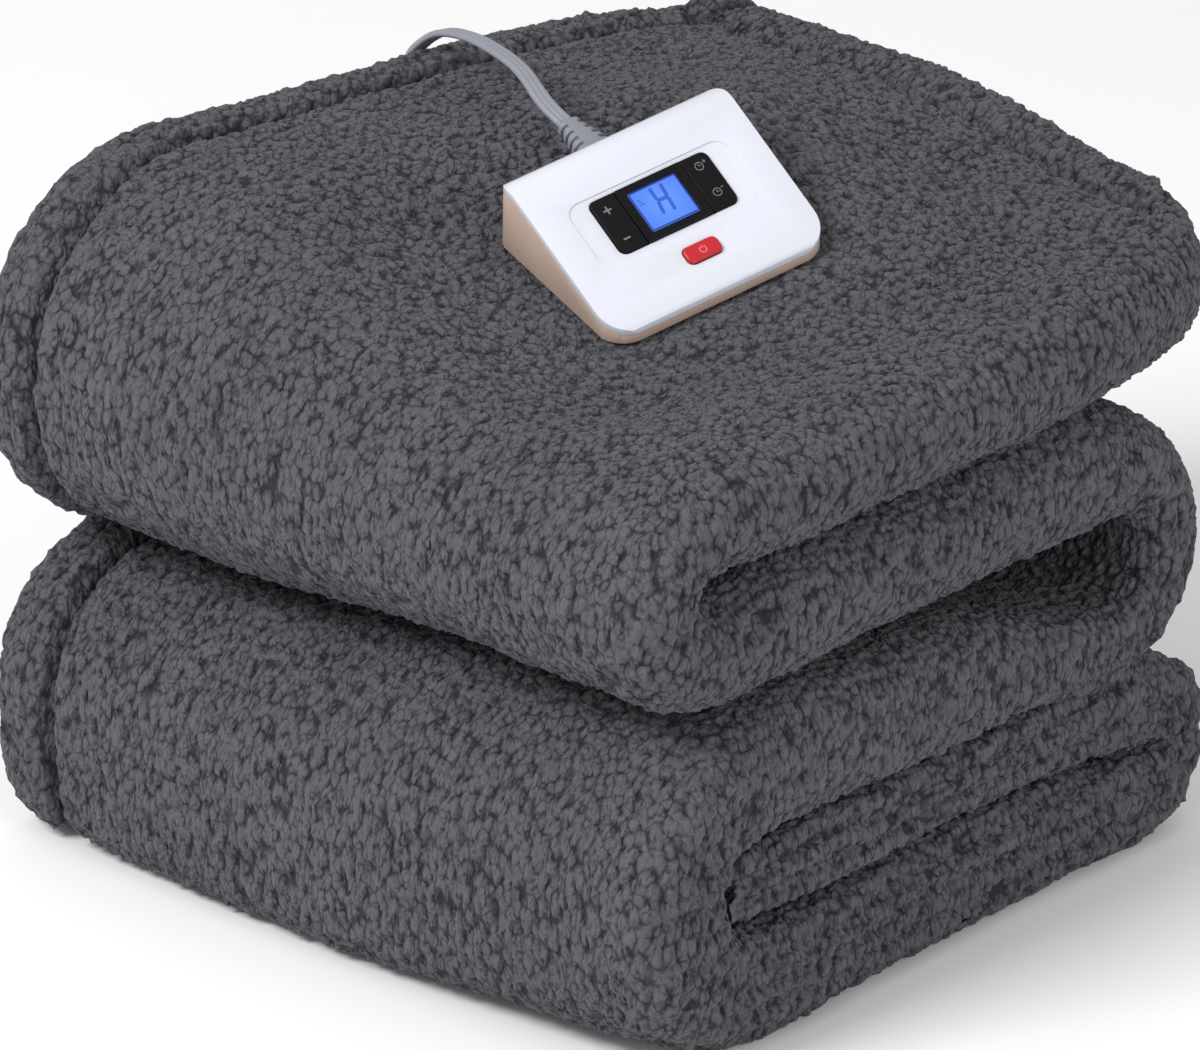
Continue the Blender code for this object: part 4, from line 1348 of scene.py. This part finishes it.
@dataclass
class Controller:
    """The wedge-shaped hand controller with its display, rocker keys and button, sizes in millimetres."""

    body: str = STACK_BODY
    position: Vector = field(default_factory=lambda: Vector((-21.1, -29.65, 265.5)))
    turn: float = math.radians(-10.0)
    tilt: float = math.radians(15.5)
    roll: float = math.radians(-10.5)
    width: float = 106.0
    depth: float = 84.0
    plan_radius: float = 13.0
    base_lip: float = 4.0
    slope: float = math.radians(20.0)
    front_rise: float = 6.4
    front_radius: float = 3.2
    crest_radius: float = 12.0
    back_lean: float = 2.0
    wall: float = 2.6
    clearance: float = 0.3
    side_inset: float = 0.6
    face_y: float = -0.9
    strip_width: float = 57.5
    strip_depth: float = 26.5
    strip_radius: float = 3.5
    strip_proud: float = 0.7
    recess_size: tuple[float, float, float, float] = (77.0, 30.5, 6.5, 0.55)
    key_width: float = 13.0
    key_float: float = 0.9
    moving_gap: float = 0.4
    window: tuple[float, float] = (23.0, 19.0)
    window_sink: float = 0.5
    window_floor: float = -1.4
    button: tuple[float, float, float] = (17.0, 8.4, 3.0)
    button_at: tuple[float, float] = (1.5, -25.4)
    button_proud: float = 1.5
    button_float: float = 1.3
    ink_rise: float = 0.04
    ink_gap: float = 0.01
    letter_rise: float = 0.05
    letter_width: float = 1.6
    made: dict[str, bpy.types.Object] = field(default_factory=dict)

    def place(self) -> Matrix:
        """Where the controller lies, as a matrix in metres with no scale in it."""
        turned = Matrix.Rotation(self.turn, 4, "Z") @ Matrix.Rotation(self.tilt, 4, "X")
        return Matrix.Translation(self.position * MM) @ turned @ Matrix.Rotation(self.roll, 4, "Y")

    def base_place(self) -> Matrix:
        """Takes millimetres over the base to metres in the scene."""
        return self.place() @ Matrix.Scale(MM, 4)

    def face_place(self) -> Matrix:
        """Takes millimetres over the sloping face to metres in the scene."""
        lifted = Matrix.Translation((0.0, self.face_y, self.face_height(self.face_y)))
        return self.base_place() @ lifted @ Matrix.Rotation(self.slope, 4, "X")

    def face_height(self, y: float) -> float:
        """Height of the sloping face over the base."""
        return self.front_rise + (y + self.depth / 2.0) * math.tan(self.slope)

    def side_outline(self, inset: float, lip: float) -> list[Vector]:
        """The wedge's outline over its lip, seen from the side and moved in by the inset."""
        front, back = -self.depth / 2.0 + inset, self.depth / 2.0 - inset
        drop = inset / math.cos(self.slope)
        crest = back - self.back_lean
        corners = (
            Vector((front, lip)),
            Vector((front, self.face_height(front) - drop)),
            Vector((crest, self.face_height(crest) - drop)),
            Vector((back, lip)),
        )
        return filleted(corners, (self.front_radius - inset, self.crest_radius - inset))

    def extruded(self, outline: Sequence[Vector], half_width: float) -> bmesh.types.BMesh:
        """Carries a closed (y, z) outline along X to both sides. Returns its bmesh."""
        shape = bmesh.new()
        sides = (-half_width, half_width)
        add_tube(shape, [[shape.verts.new((x, point.x, point.y)) for point in outline] for x in sides])
        return shape

    def cut(
        self,
        made: bpy.types.Object,
        tools: Iterable[tuple[bmesh.types.BMesh, str]],
        rounding: float,
        place: Matrix,
        segments: int = 3,
    ) -> bpy.types.Object:
        """Cuts a body with tools, rounds its sharp edges and puts it in place.

        Args:
            made: the body, in millimetres.
            tools: shapes in the body's millimetres, each with its Boolean operation.
            rounding: the edge radius.
            place: takes millimetres to the scene.
            segments: steps in each rounding.

        Returns:
            The finished body.
        """
        guides = []
        for index, (shape, operation) in enumerate(tools):
            guide = bmesh_object(f"{made.name}_cut_{index}", shape, None)
            modifier = made.modifiers.new(guide.name, "BOOLEAN")
            modifier.operation = operation
            modifier.solver = "EXACT"
            modifier.object = guide
            guides.append(guide)
        bevel = made.modifiers.new("moulded edge", "BEVEL")
        bevel.width = rounding
        bevel.segments = segments
        bevel.limit_method = "ANGLE"
        bevel.angle_limit = math.radians(38.0)
        baked(made, place)
        for guide in guides:
            bpy.data.objects.remove(guide)
        return made

    def on_face(self, shape: bmesh.types.BMesh) -> bmesh.types.BMesh:
        """Moves a shape from the face's millimetres to the base's. Returns it."""
        shape.transform(self.base_place().inverted() @ self.face_place())
        return shape

    def keep(self, made: bpy.types.Object, body: str, slot: str, *nodes: str) -> bpy.types.Object:
        """Lets a piece ride on its body and hides the CAD nodes that it stands for. Returns it."""
        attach(made, body)
        if nodes:
            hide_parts(*nodes)
        self.made[made.name] = made
        report(made)
        return made

    def build(self, looks: "Looks") -> None:
        """Makes every piece of the controller."""
        self.shells(looks)
        self.strip(looks)
        self.display(looks)
        self.prints(looks)

    def shells(self, looks: "Looks") -> None:
        """Makes the beige base and the white cover with its shallow recess round the keys."""
        half_depth, lip = self.depth / 2.0, self.base_lip
        outline = [
            Vector((-half_depth, 0.0)),
            Vector((-half_depth, lip - self.clearance)),
            *self.side_outline(self.wall + self.clearance, lip - self.clearance),
            Vector((half_depth, lip - self.clearance)),
            Vector((half_depth, 0.0)),
        ]
        plan = plate(rounded(self.width / 2, half_depth, self.plan_radius, 16), -10.0, 60.0)
        half_width = self.width / 2.0
        wedge = self.extruded(outline, half_width - self.side_inset)
        base = bmesh_object("controller_tray", wedge, looks.beige)
        self.cut(base, [(plan.copy(), "INTERSECT")], 0.4, self.base_place(), 2)
        self.keep(base, self.body, "beige_plastic", "controller_base")

        rim = self.side_outline(0.0, lip) + list(reversed(self.side_outline(self.wall, lip)))
        cover = bmesh_object("controller_lid", self.extruded(rim, half_width + 1.0), looks.white)
        well = rounded(self.strip_width / 2.0, self.strip_depth / 2.0, self.strip_radius)
        wide, deep, radius, sink = self.recess_size
        recess = rounded(wide / 2, deep / 2, radius, 10)
        hole = rounded(self.button[0] / 2.0, self.button[1] / 2.0, self.button[2], at=self.button_at)
        wells = ((recess, -sink), (well, -8.0), (hole, -8.0))
        tools = [(plan, "INTERSECT")]
        tools += [(self.on_face(plate(opening, low, 8.0)), "DIFFERENCE") for opening, low in wells]
        self.cut(cover, tools, 0.6, self.base_place())
        self.keep(cover, self.body, "white_plastic", "controller_cover")

    def strip(self, looks: "Looks") -> None:
        """Makes the two rocker keys and the red button."""
        floor = -self.wall - self.clearance
        half_rows = self.strip_depth / 2.0 - self.moving_gap
        half_strip = self.strip_width / 2.0 - self.moving_gap
        inner = self.strip_width / 2.0 - self.key_width + self.moving_gap
        corner = self.strip_radius - self.moving_gap
        rows = (-half_rows, half_rows)
        left_radii, right_radii = (0.5, corner, corner, 0.5), (corner, 0.5, 0.5, corner)
        for name, left, right, radii, body, node in (
            ("level_rocker_cap", -half_strip, -inner, left_radii, "level_rocker", "level_key"),
            ("timer_rocker_cap", inner, half_strip, right_radii, "timer_rocker", "timer_key"),
        ):
            shape = plate(cornered(left, right, *rows, radii), floor + self.key_float, self.strip_proud)
            key = bmesh_object(name, shape, looks.black)
            self.cut(key, [], 0.45, self.face_place())
            self.keep(key, body, "key_plastic", node)
        gap = self.moving_gap
        wide, deep, radius = self.button
        outline = rounded(wide / 2.0 - gap, deep / 2.0 - gap, radius - gap, at=self.button_at)
        shape = plate(outline, floor + self.button_float, self.button_proud)
        button = bmesh_object("power_button_cap", shape, looks.red)
        self.cut(button, [], 0.7, self.face_place(), 4)
        self.keep(button, "power_button", "button_plastic", "power_button")

    def display(self, looks: "Looks") -> None:
        """Makes the black bezel, the lit window in it, a ring of painted shadow round the window's edge and
        the level letter.
        """
        half_rows = self.strip_depth / 2.0 - self.moving_gap
        half_middle = self.strip_width / 2.0 - self.key_width
        floor = -self.wall - self.clearance
        shape = plate(rounded(half_middle, half_rows, 0.5), floor + self.clearance, self.strip_proud)
        bezel = bmesh_object("display_frame", shape, looks.gloss)
        wide, deep = self.window[0] / 2.0, self.window[1] / 2.0
        edge = self.clearance
        well = plate(rounded(wide + edge, deep + edge, 0.9, 4), self.window_floor, 6.0)
        self.cut(bezel, [(well, "DIFFERENCE")], 0.35, self.face_place())
        self.keep(bezel, self.body, "bezel_plastic", "display_bezel")

        top = self.strip_proud - self.window_sink
        pane = plate(rounded(wide, deep, 0.6, 4), self.window_floor + edge, top)
        glass = bmesh_object("display_glass", pane, looks.glass)
        self.cut(glass, [], 0.12, self.face_place(), 2)
        self.keep(glass, self.body, "display_lit", "display_window")

        # A thin dark ring over the glass's edge: painted shadow round the window.
        border = plate(rounded(wide - 0.1, deep - 0.1, 0.5, 4), top, top + 0.06)
        rim = bmesh_object("display_edge_shadow", border, looks.rim)
        opening = plate(rounded(wide - 0.75, deep - 0.75, 0.4, 4), top - 2.0, top + 2.0)
        self.cut(rim, [(opening, "DIFFERENCE")], 0.02, self.face_place(), 1)
        self.keep(rim, self.body, "display_lit")
        self.letter(looks, top)

    def letter(self, looks: "Looks", top: float) -> None:
        """Makes the display's seven-segment H and its small level mark.

        Args:
            looks: the finishes.
            top: the height of the glass over the face.
        """
        across, down = self.window
        segments = (
            ((0.424, 0.10), (0.424, 0.385)),
            ((0.650, 0.10), (0.633, 0.385)),
            ((0.418, 0.450), (0.385, 0.716)),
            ((0.627, 0.450), (0.607, 0.736)),
            ((0.445, 0.417), (0.612, 0.417)),
        )
        low, rise = top + self.ink_gap, self.letter_rise
        shape = bmesh.new()
        for ends in segments:
            first, last = (Vector(((x - 0.5) * across, (0.5 - y) * down)) for x, y in ends)
            self.bar(shape, first, last, self.letter_width, low, rise, pointed=0.6)
        square = Vector(((0.107 - 0.5) * across, (0.5 - 0.287) * down))
        for row in range(3):
            left = square + Vector((-0.2, 1.1 - 1.1 * row))
            self.bar(shape, left, left + Vector((1.0 + 0.5 * row, 0.0)), 0.5, low, rise)
        digit = bmesh_object("display_letter", shape, looks.ink)
        digit.data.transform(self.face_place())
        self.keep(digit, self.body, "display_lit")

    def bar(
        self,
        shape: bmesh.types.BMesh,
        start: Vector,
        end: Vector,
        thickness: float,
        low: float,
        rise: float,
        pointed: float = 0.0,
    ) -> None:
        """Adds one printed bar between two points of the face.

        Args:
            shape: the bmesh that gets it.
            start: one end's x and y.
            end: the other end's.
            thickness: the bar's width.
            low: its lower face.
            rise: how thick the print is.
            pointed: how far its ends run to a point.
        """
        along = (end - start).normalized()
        side = Vector((-along.y, along.x)) * thickness / 2.0
        tip = along * pointed
        outline = [start - side, end - side]
        if pointed:
            outline += [end + tip]
        outline += [end + side, start + side]
        if pointed:
            outline += [start - tip]
        add_prism(shape, outline, low, low + rise)

    def ring(self, shape: bmesh.types.BMesh, centre: Vector, hoop: Hoop, low: float, steps: int = 24) -> None:
        """Adds a printed ring, with a gap at its far side where the hoop has one.

        Args:
            shape: the bmesh that gets it.
            centre: its x and y.
            hoop: its radius, line width and gap.
            low: its lower face.
            steps: parts of the ring.
        """
        first = math.pi / 2.0 + hoop.opening
        sweep = 2.0 * math.pi - 2.0 * hoop.opening
        high = low + self.ink_rise
        loops = []
        for step in range(steps + (1 if hoop.opening else 0)):
            angle = first + sweep * step / steps
            along = Vector((math.cos(angle), math.sin(angle)))
            inner = centre + along * (hoop.radius - hoop.width / 2.0)
            outer = centre + along * (hoop.radius + hoop.width / 2.0)
            corners = ((inner, low), (outer, low), (outer, high), (inner, high))
            loops.append([shape.verts.new((point.x, point.y, z)) for point, z in corners])
        if hoop.opening:
            add_tube(shape, loops)
        else:
            bridge(shape, loops + loops[:1])

    def prints(self, looks: "Looks") -> None:
        """Makes the pale symbols on the keys and the button."""
        keys_top, button_top = self.strip_proud + self.ink_gap, self.button_proud + self.ink_gap
        more, less = Symbol.CLOCK_MORE, Symbol.CLOCK_LESS
        level = ("level_signs", ((Symbol.PLUS, -22.8, 6.7), (Symbol.MINUS, -22.8, -7.4)), keys_top)
        timer = ("timer_signs", ((more, 22.8, 7.3), (less, 22.8, -5.8)), keys_top)
        power = ("power_sign", ((Symbol.POWER, *self.button_at),), button_top)
        for (name, signs, low), ink, body, slot in (
            (level, looks.pale_ink, "level_rocker", "key_plastic"),
            (timer, looks.pale_ink, "timer_rocker", "key_plastic"),
            (power, looks.red_ink, "power_button", "button_plastic"),
        ):
            shape = bmesh.new()
            for symbol, x, y in signs:
                self.sign(shape, symbol, Vector((x, y)), low)
            made = bmesh_object(name, shape, ink)
            made.data.transform(self.face_place())
            self.keep(made, body, slot)

    def sign(self, shape: bmesh.types.BMesh, symbol: Symbol, at: Vector, low: float) -> None:
        """Adds one printed symbol.

        Args:
            shape: the bmesh that gets it.
            symbol: which one.
            at: its centre on the face.
            low: its lower face.
        """
        hoop = HOOPS.get(symbol)
        if hoop:
            self.ring(shape, at + Vector((hoop.centre_x, 0.0)), hoop, low)
        for stroke in STROKES[symbol]:
            start = at + Vector((stroke.start_x, stroke.start_y))
            end = at + Vector((stroke.end_x, stroke.end_y))
            self.bar(shape, start, end, stroke.width, low, self.ink_rise)


# --- cord -----------------------------------------------------------------------------------------


@dataclass
class ControlCord:
    """The flat three-ribbed cord: out of its strain relief, over the stack's back, and into a flat coil."""

    body: str = STACK_BODY
    width: float = 7.2
    rib_radius: float = 1.55
    rib_pitch: float = 2.05
    ring_spacing: float = 3.0
    edge_from: float = 165.0
    edge_to: float = 420.0
    boot_rings: int = 8
    least_level: float = 0.3
    route: tuple[tuple[float, float, float], ...] = (
        (-15.55, 25.9, 298.67),
        (-13.2, 39.95, 303.4),
        (-4.8, 60.9, 309.8),
        (4.2, 87.1, 310.2),
        (12.2, 108.0, 306.8),
        (19.2, 126.3, 300.9),
        (26.7, 143.2, 290.4),
        (32.7, 156.4, 278.4),
        (35.2, 164.6, 260.0),
        (36.2, 172.0, 238.0),
        (36.2, 182.0, 213.0),
        (35.2, 189.0, 188.0),
        (33.7, 192.0, 150.0),
        (31.7, 192.8, 95.0),
        (29.2, 192.8, 45.0),
        (23.2, 193.2, 16.0),
        (10.2, 194.0, 5.2),
        (-8.3, 195.6, 3.6),
        (-24.4, 202.25, 3.6),
    )
    end_route: tuple[tuple[float, float, float], ...] = (
        (-28.2, 246.85, 3.6),
        (-27.8, 253.05, 3.6),
        (-25.8, 261.05, 3.7),
        (-21.2, 268.05, 3.9),
        (-13.2, 271.35, 4.2),
        (-5.2, 269.1, 4.5),
        (-1.5, 264.2, 4.7),
        (-1.2, 256.1, 4.8),
    )
    coil_centre: tuple[float, float] = (-1.2, 250.85)
    coil_start: float = math.radians(244.5)
    coil_sweep: float = math.radians(1856.0)
    coil_blend: float = math.radians(40.0)
    coil_radius: float = 48.7
    coil_first: float = 54.07
    coil_last: float = 27.3
    turn_pitch: float = 3.5
    coil_height: float = 3.6
    connector_size: tuple[float, float, float] = (30.0, 15.0, 9.6)
    boot_x: float = -1.0
    boot_z: float = 16.5
    boot_length: float = 20.0
    boot_rise: float = math.radians(3.0)
    boot_wide: tuple[float, float] = (8.2, 5.0)
    boot_thick: tuple[float, float] = (5.4, 3.8)
    boot_tip: float = 0.8
    boot_square: float = 0.7
    slot_from: float = 3.0
    slot_pitch: float = 4.1
    slot_count: int = 4
    slot_share: float = 0.46
    slot_depth: float = 1.1
    slot_sides: float = 0.42
    groove_count: int = 4
    groove_from: float = -5.0
    groove_pitch: float = 3.6

    def smooth(self, points: Sequence[Sequence[float]], per_span: int = 12) -> list[Vector]:
        """Runs a Catmull-Rom curve through the points, as the CAD tube does. Returns its points."""
        knots = [Vector(point) for point in points]
        knots = [knots[0] * 2.0 - knots[1], *knots, knots[-1] * 2.0 - knots[-2]]
        fine = []
        for a, b, c, d in zip(knots, knots[1:], knots[2:], knots[3:]):
            for step in range(per_span):
                t = step / per_span
                point = b * 2.0 + (c - a) * t + (a * 2.0 - b * 5.0 + c * 4.0 - d) * t * t
                fine.append((point + (b * 3.0 - a - c * 3.0 + d) * t**3) * 0.5)
        fine.append(knots[-2])
        return fine

    def coil(self) -> list[Vector]:
        """The flat spiral, wound inwards. Returns its points."""
        steps = round(math.degrees(self.coil_sweep) / 4.0)
        points = []
        for step in range(1, steps):
            swept = self.coil_sweep * step / steps
            radius = self.coil_radius - self.turn_pitch * swept / (2.0 * math.pi)
            into = smooth_step(swept / self.coil_blend)
            out = smooth_step((self.coil_sweep - swept) / self.coil_blend)
            radius = between(self.coil_last, between(self.coil_first, radius, into), out)
            angle = self.coil_start - swept
            x = self.coil_centre[0] + radius * math.cos(angle)
            y = self.coil_centre[1] + radius * math.sin(angle)
            points.append(Vector((x, y, self.coil_height)))
        return points

    def path(self) -> tuple[list[Vector], list[float]]:
        """Joins the route, coil and end. Returns even points and how far round each stands on its edge."""
        lead = self.smooth(self.route)
        wound = self.coil()
        tail = self.smooth(self.end_route)
        raw = lead + wound + tail
        lengths = np.concatenate(([0.0], np.cumsum([(b - a).length for a, b in zip(raw, raw[1:])])))
        keep = np.concatenate(([True], np.diff(lengths) > 1e-6))
        lengths, table = lengths[keep], np.array([point[:] for point in raw])[keep]
        count = round(lengths[-1] / self.ring_spacing)
        spots = np.linspace(0.0, lengths[-1], count + 1)
        even = np.stack([np.interp(spots, lengths, table[:, axis]) for axis in range(3)], axis=1)
        for _ in range(2):
            even[1:-1] = even[1:-1] * 0.5 + (even[:-2] + even[2:]) * 0.25
        run = self.edge_to - self.edge_from
        edges = [smooth_step((spot - self.edge_from) / run) for spot in spots]
        return [Vector(point) for point in even], edges

    def profile(self, steps: int = 6) -> list[tuple[float, float]]:
        """The three ribs' outline, as (across, up) in millimetres."""
        upper = []
        for lobe in (1, 0, -1):
            first = 0.0 if lobe == 1 else math.pi * 0.27
            last = math.pi if lobe == -1 else math.pi * 0.73
            for step in range(steps):
                angle = first + (last - first) * step / (steps - 1)
                across, up = math.cos(angle), math.sin(angle)
                upper.append((lobe * self.rib_pitch + self.rib_radius * across, self.rib_radius * up))
        lower = [(across, -up) for across, up in reversed(upper[1:-1])]
        return upper + lower

    def build(self, looks: "Looks", controller: Controller) -> None:
        """Args:
            looks: the finishes.
            controller: what the strain relief stands on.
        """
        points, edges = self.path()
        outline = self.profile()
        upwards = Vector((0.0, 0.0, 1.0))
        side = (controller.place().to_3x3() @ Vector((1.0, 0.0, 0.0))).normalized()
        previous = side
        shape = bmesh.new()
        loops = []
        for index, (point, edge) in enumerate(zip(points, edges)):
            before, after = points[max(index - 1, 0)], points[min(index + 1, len(points) - 1)]
            along = (after - before).normalized()
            level = side - along * side.dot(along) if index < self.boot_rings else along.cross(upwards)
            if level.length < self.least_level:
                level = previous - along * previous.dot(along)
            level.normalize()
            if edge > 0.0:
                upright = upwards - along * along.z
                if upright.length < self.least_level:
                    upright = along.cross(Vector((-1.0, 0.0, 0.0)))
                upright.normalize()
                if upright.dot(level) < 0.0:
                    upright = -upright
                level = (level * (1.0 - edge) + upright * edge).normalized()
                level = (level - along * level.dot(along)).normalized()
            up = level.cross(along).normalized()
            previous = level
            loops.append([shape.verts.new((point + level * a + up * b) * MM) for a, b in outline])
        add_tube(shape, loops)
        cord = bmesh_object("ribbed_cord", shape, looks.rubber, 60.0)
        report(cord)
        connector = self.connector(looks)
        boot = self.boot(looks, controller)
        for piece in (cord, connector, boot):
            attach(piece, self.body)
        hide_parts("cord_tube", "cord_coil", "cord_end")
        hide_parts("cord_connector")
        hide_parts("cord_boot")

    def connector(self, looks: "Looks") -> bpy.types.Object:
        """Makes the flat moulded connector with finger grooves. Returns it."""
        long, wide, high = self.connector_size
        stations = [(-long / 2, 0.62), (-long / 2 + 2.5, 0.9), (-long / 2 + 6.0, 1.0)]
        for groove in range(self.groove_count):
            start = self.groove_from + groove * self.groove_pitch
            stations += [(start, 1.0), (start + 0.5, 0.9), (start + 1.3, 0.9), (start + 1.8, 1.0)]
        stations += [(long / 2 - 3.0, 1.0), (long / 2 - 0.8, 0.97), (long / 2, 0.86)]
        shape = bmesh.new()
        loops = []
        end = Vector(self.end_route[-1])
        centre = Vector((end.x, end.y - long / 2.0 - 0.3, high / 2.0))
        for along, size in stations:
            outline = rounded(wide / 2 * size, high / 2 * size, 3.0 * size, 5)
            loops.append([
                shape.verts.new((centre + Vector((point.x, -along, point.y))) * MM) for point in outline
            ])
        add_tube(shape, loops)
        made = bmesh_object("blanket_connector", shape, looks.rubber, 40.0)
        report(made)
        return made

    def boot(self, looks: "Looks", controller: Controller) -> bpy.types.Object:
        """Makes the tapered strain relief with four slots in each side. Returns it."""
        shape = bmesh.new()
        loops = []
        stations, sides = 84, 40
        for step in range(stations + 1):
            along = self.boot_length * step / stations
            share = smooth_step(along / self.boot_length)
            wide, thick = between(*self.boot_wide, share), between(*self.boot_thick, share)
            tip = min((self.boot_length - along) / self.boot_tip, 1.0)
            trim = self.boot_tip * (1.0 - math.sqrt(max(1.0 - (1.0 - tip) ** 2, 0.0)))
            phase = (along - self.slot_from) / self.slot_pitch
            slot = phase % 1.0 < self.slot_share and 0.0 <= phase < self.slot_count
            loop = []
            for side in range(sides):
                angle = 2.0 * math.pi * side / sides
                across, up = math.cos(angle), math.sin(angle)
                in_by = trim + (self.slot_depth if slot and abs(across) > self.slot_sides else 0.0)
                x = math.copysign(abs(across) ** self.boot_square, across) * (wide - in_by)
                z = math.copysign(abs(up) ** self.boot_square, up) * (thick - in_by)
                loop.append(shape.verts.new((x, along, z)))
            loops.append(loop)
        add_tube(shape, loops)
        lean = controller.back_lean * (self.boot_z - controller.base_lip)
        lean /= controller.face_height(controller.depth / 2.0) - controller.base_lip
        seat = 2.2 * controller.clearance + self.boot_thick[0] * math.sin(self.boot_rise)
        local = Matrix.Translation((self.boot_x, controller.depth / 2.0 - lean + seat, self.boot_z))
        made = bmesh_object("strain_relief", shape, looks.relief, 35.0)
        made.data.transform(controller.base_place() @ local @ Matrix.Rotation(self.boot_rise, 4, "X"))
        report(made)
        return made


# --- studio ---------------------------------------------------------------------------------------


@dataclass(frozen=True)
class FloorFinish:
    """Matt white card: nearly even, with a faint cloudiness that keeps it from looking flat."""

    colour: str = "#fbfbfc"
    cloud_per_metre: float = 3.0

    def build(self) -> bpy.types.Material:
        """Makes the floor's material. Returns it."""
        made, shader = new_material("matt white card", {"Roughness": 0.9, "Specular IOR Level": 0.2})
        tree = made.node_tree
        place = add_node(tree, "ShaderNodeTexCoord").outputs["Object"]
        cloud = noise_at(tree, place, self.cloud_per_metre).outputs["Fac"]
        base = linear(self.colour)
        wired(tree, shader, {"Base Color": blended(tree, cloud, toned(base, 0.98), base)})
        return made


@dataclass
class Studio:
    """The camera at the photograph's angle, soft lights and a pale floor."""

    azimuth: float = math.radians(-47.5)
    elevation: float = math.radians(24.3)
    distance: float = 4.0
    aim: Vector = field(default_factory=lambda: Vector((-0.0268, -0.00225, 0.1370)))
    lit_spot: Vector = field(default_factory=lambda: Vector((0.0, 0.0, 0.12)))
    lens: float = 300.0
    floor_size: float = 9.0
    floor_drop: float = 0.2 * MM
    world_strength: float = 0.62
    key_power: float = 76.0
    fill_power: float = 25.0

    def camera(self) -> None:
        """Makes the camera and sets it as the scene's."""
        flat = math.cos(self.elevation)
        back = Vector(
            (math.sin(self.azimuth) * flat, -math.cos(self.azimuth) * flat, math.sin(self.elevation))
        )
        data = bpy.data.cameras.new("photo camera")
        data.lens = self.lens
        data.sensor_width = 36.0
        data.clip_end = 30.0
        made = linked_object("photo camera", data)
        made.location = self.aim + back * self.distance
        made.rotation_euler = (-back).to_track_quat("-Z", "Y").to_euler()
        bpy.context.scene.camera = made

    def light(self, name: str, at: Vector, size: float, power: float) -> None:
        """Hangs a soft square light that faces the stack."""
        data = bpy.data.lights.new(name, "AREA")
        data.shape = "SQUARE"
        data.size = size
        data.energy = power
        made = linked_object(name, data)
        made.location = at
        made.rotation_euler = (self.lit_spot - at).to_track_quat("-Z", "Y").to_euler()

    def surroundings(self) -> None:
        """Makes the lights, the even white world and the floor."""
        self.light("key light", Vector((-2.3, 0.5, 2.4)), 1.1, self.key_power)
        self.light("fill light", Vector((-0.4, -2.8, 1.3)), 1.6, self.fill_power)
        world = bpy.data.worlds.new("studio")
        world.use_nodes = True
        background = world.node_tree.nodes["Background"]
        background.inputs["Color"].default_value = (1.0, 1.0, 1.0, 1.0)
        background.inputs["Strength"].default_value = self.world_strength
        bpy.context.scene.world = world
        bpy.context.scene.view_settings.view_transform = "Standard"
        half = self.floor_size / 2.0
        corners = [(x * half, y * half, -self.floor_drop) for x, y in ((-1, -1), (1, -1), (1, 1), (-1, 1))]
        floor = mesh_object("studio_floor", corners, [(0, 1, 2, 3)], FloorFinish().build())


# --- the whole ------------------------------------------------------------------------------------


@dataclass
class Looks:
    """Every finish, made once."""

    sherpa: bpy.types.Material
    beige: bpy.types.Material
    white: bpy.types.Material
    black: bpy.types.Material
    gloss: bpy.types.Material
    glass: bpy.types.Material
    # the painted shadow ring round the display window
    rim: bpy.types.Material
    ink: bpy.types.Material
    pale_ink: bpy.types.Material
    red: bpy.types.Material
    red_ink: bpy.types.Material
    rubber: bpy.types.Material
    relief: bpy.types.Material

    @classmethod
    def for_controller(cls, controller: Controller) -> "Looks":
        """Makes the finishes, with the display's glow centred on its window."""
        centre = tuple(controller.face_place().translation)
        return cls(
            sherpa=SherpaFinish().build(),
            beige=MouldedFinish("matt beige ABS", "#c2ab9c", 0.42).build(),
            white=MouldedFinish("glossy white ABS", "#d5d7e1", 0.2, coat=0.15, shift=0.01).build(),
            black=MouldedFinish("satin black ABS", "#0f0f11", 0.5, ior=1.24).build(),
            gloss=MouldedFinish("gloss black acrylic", "#0a0a0c", 0.12, ior=1.3).build(),
            glass=LitGlassFinish(centre=centre).build(),
            rim=LitInkFinish("display edge shadow", "#20348c", 0.7).build(),
            ink=LitInkFinish("display segment ink", "#3a66e0", 0.75).build(),
            pale_ink=MouldedFinish("printed grey ink", "#707176", 0.5).build(),
            red=MouldedFinish("red ABS", "#b8131e", 0.3, coat=0.1).build(),
            red_ink=MouldedFinish("printed pale red ink", "#e8757c", 0.5).build(),
            rubber=MouldedFinish("grey PVC sheath", "#868892", 0.46, grain_per_metre=1800.0).build(),
            relief=MouldedFinish("grey PVC strain relief", "#7e808a", 0.48, grain_per_metre=1800.0).build(),
        )


def main() -> None:
    """Builds the whole picture."""
    logging.basicConfig(level=logging.INFO, format="%(name)s %(message)s")
    studio = Studio()
    studio.camera()
    controller = Controller()
    looks = Looks.for_controller(controller)
    ControlCord().build(looks, controller)
    controller.build(looks)
    folded = FoldedCloth()
    cloth = folded.build(looks.sherpa, controller)
    pile = CurledPile().build(cloth, looks.sherpa)
    for piece in (cloth.made, *pile):
        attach(piece, STACK_BODY)
    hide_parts("blanket")
    studio.surroundings()


if __name__ == "__main__":
    main()
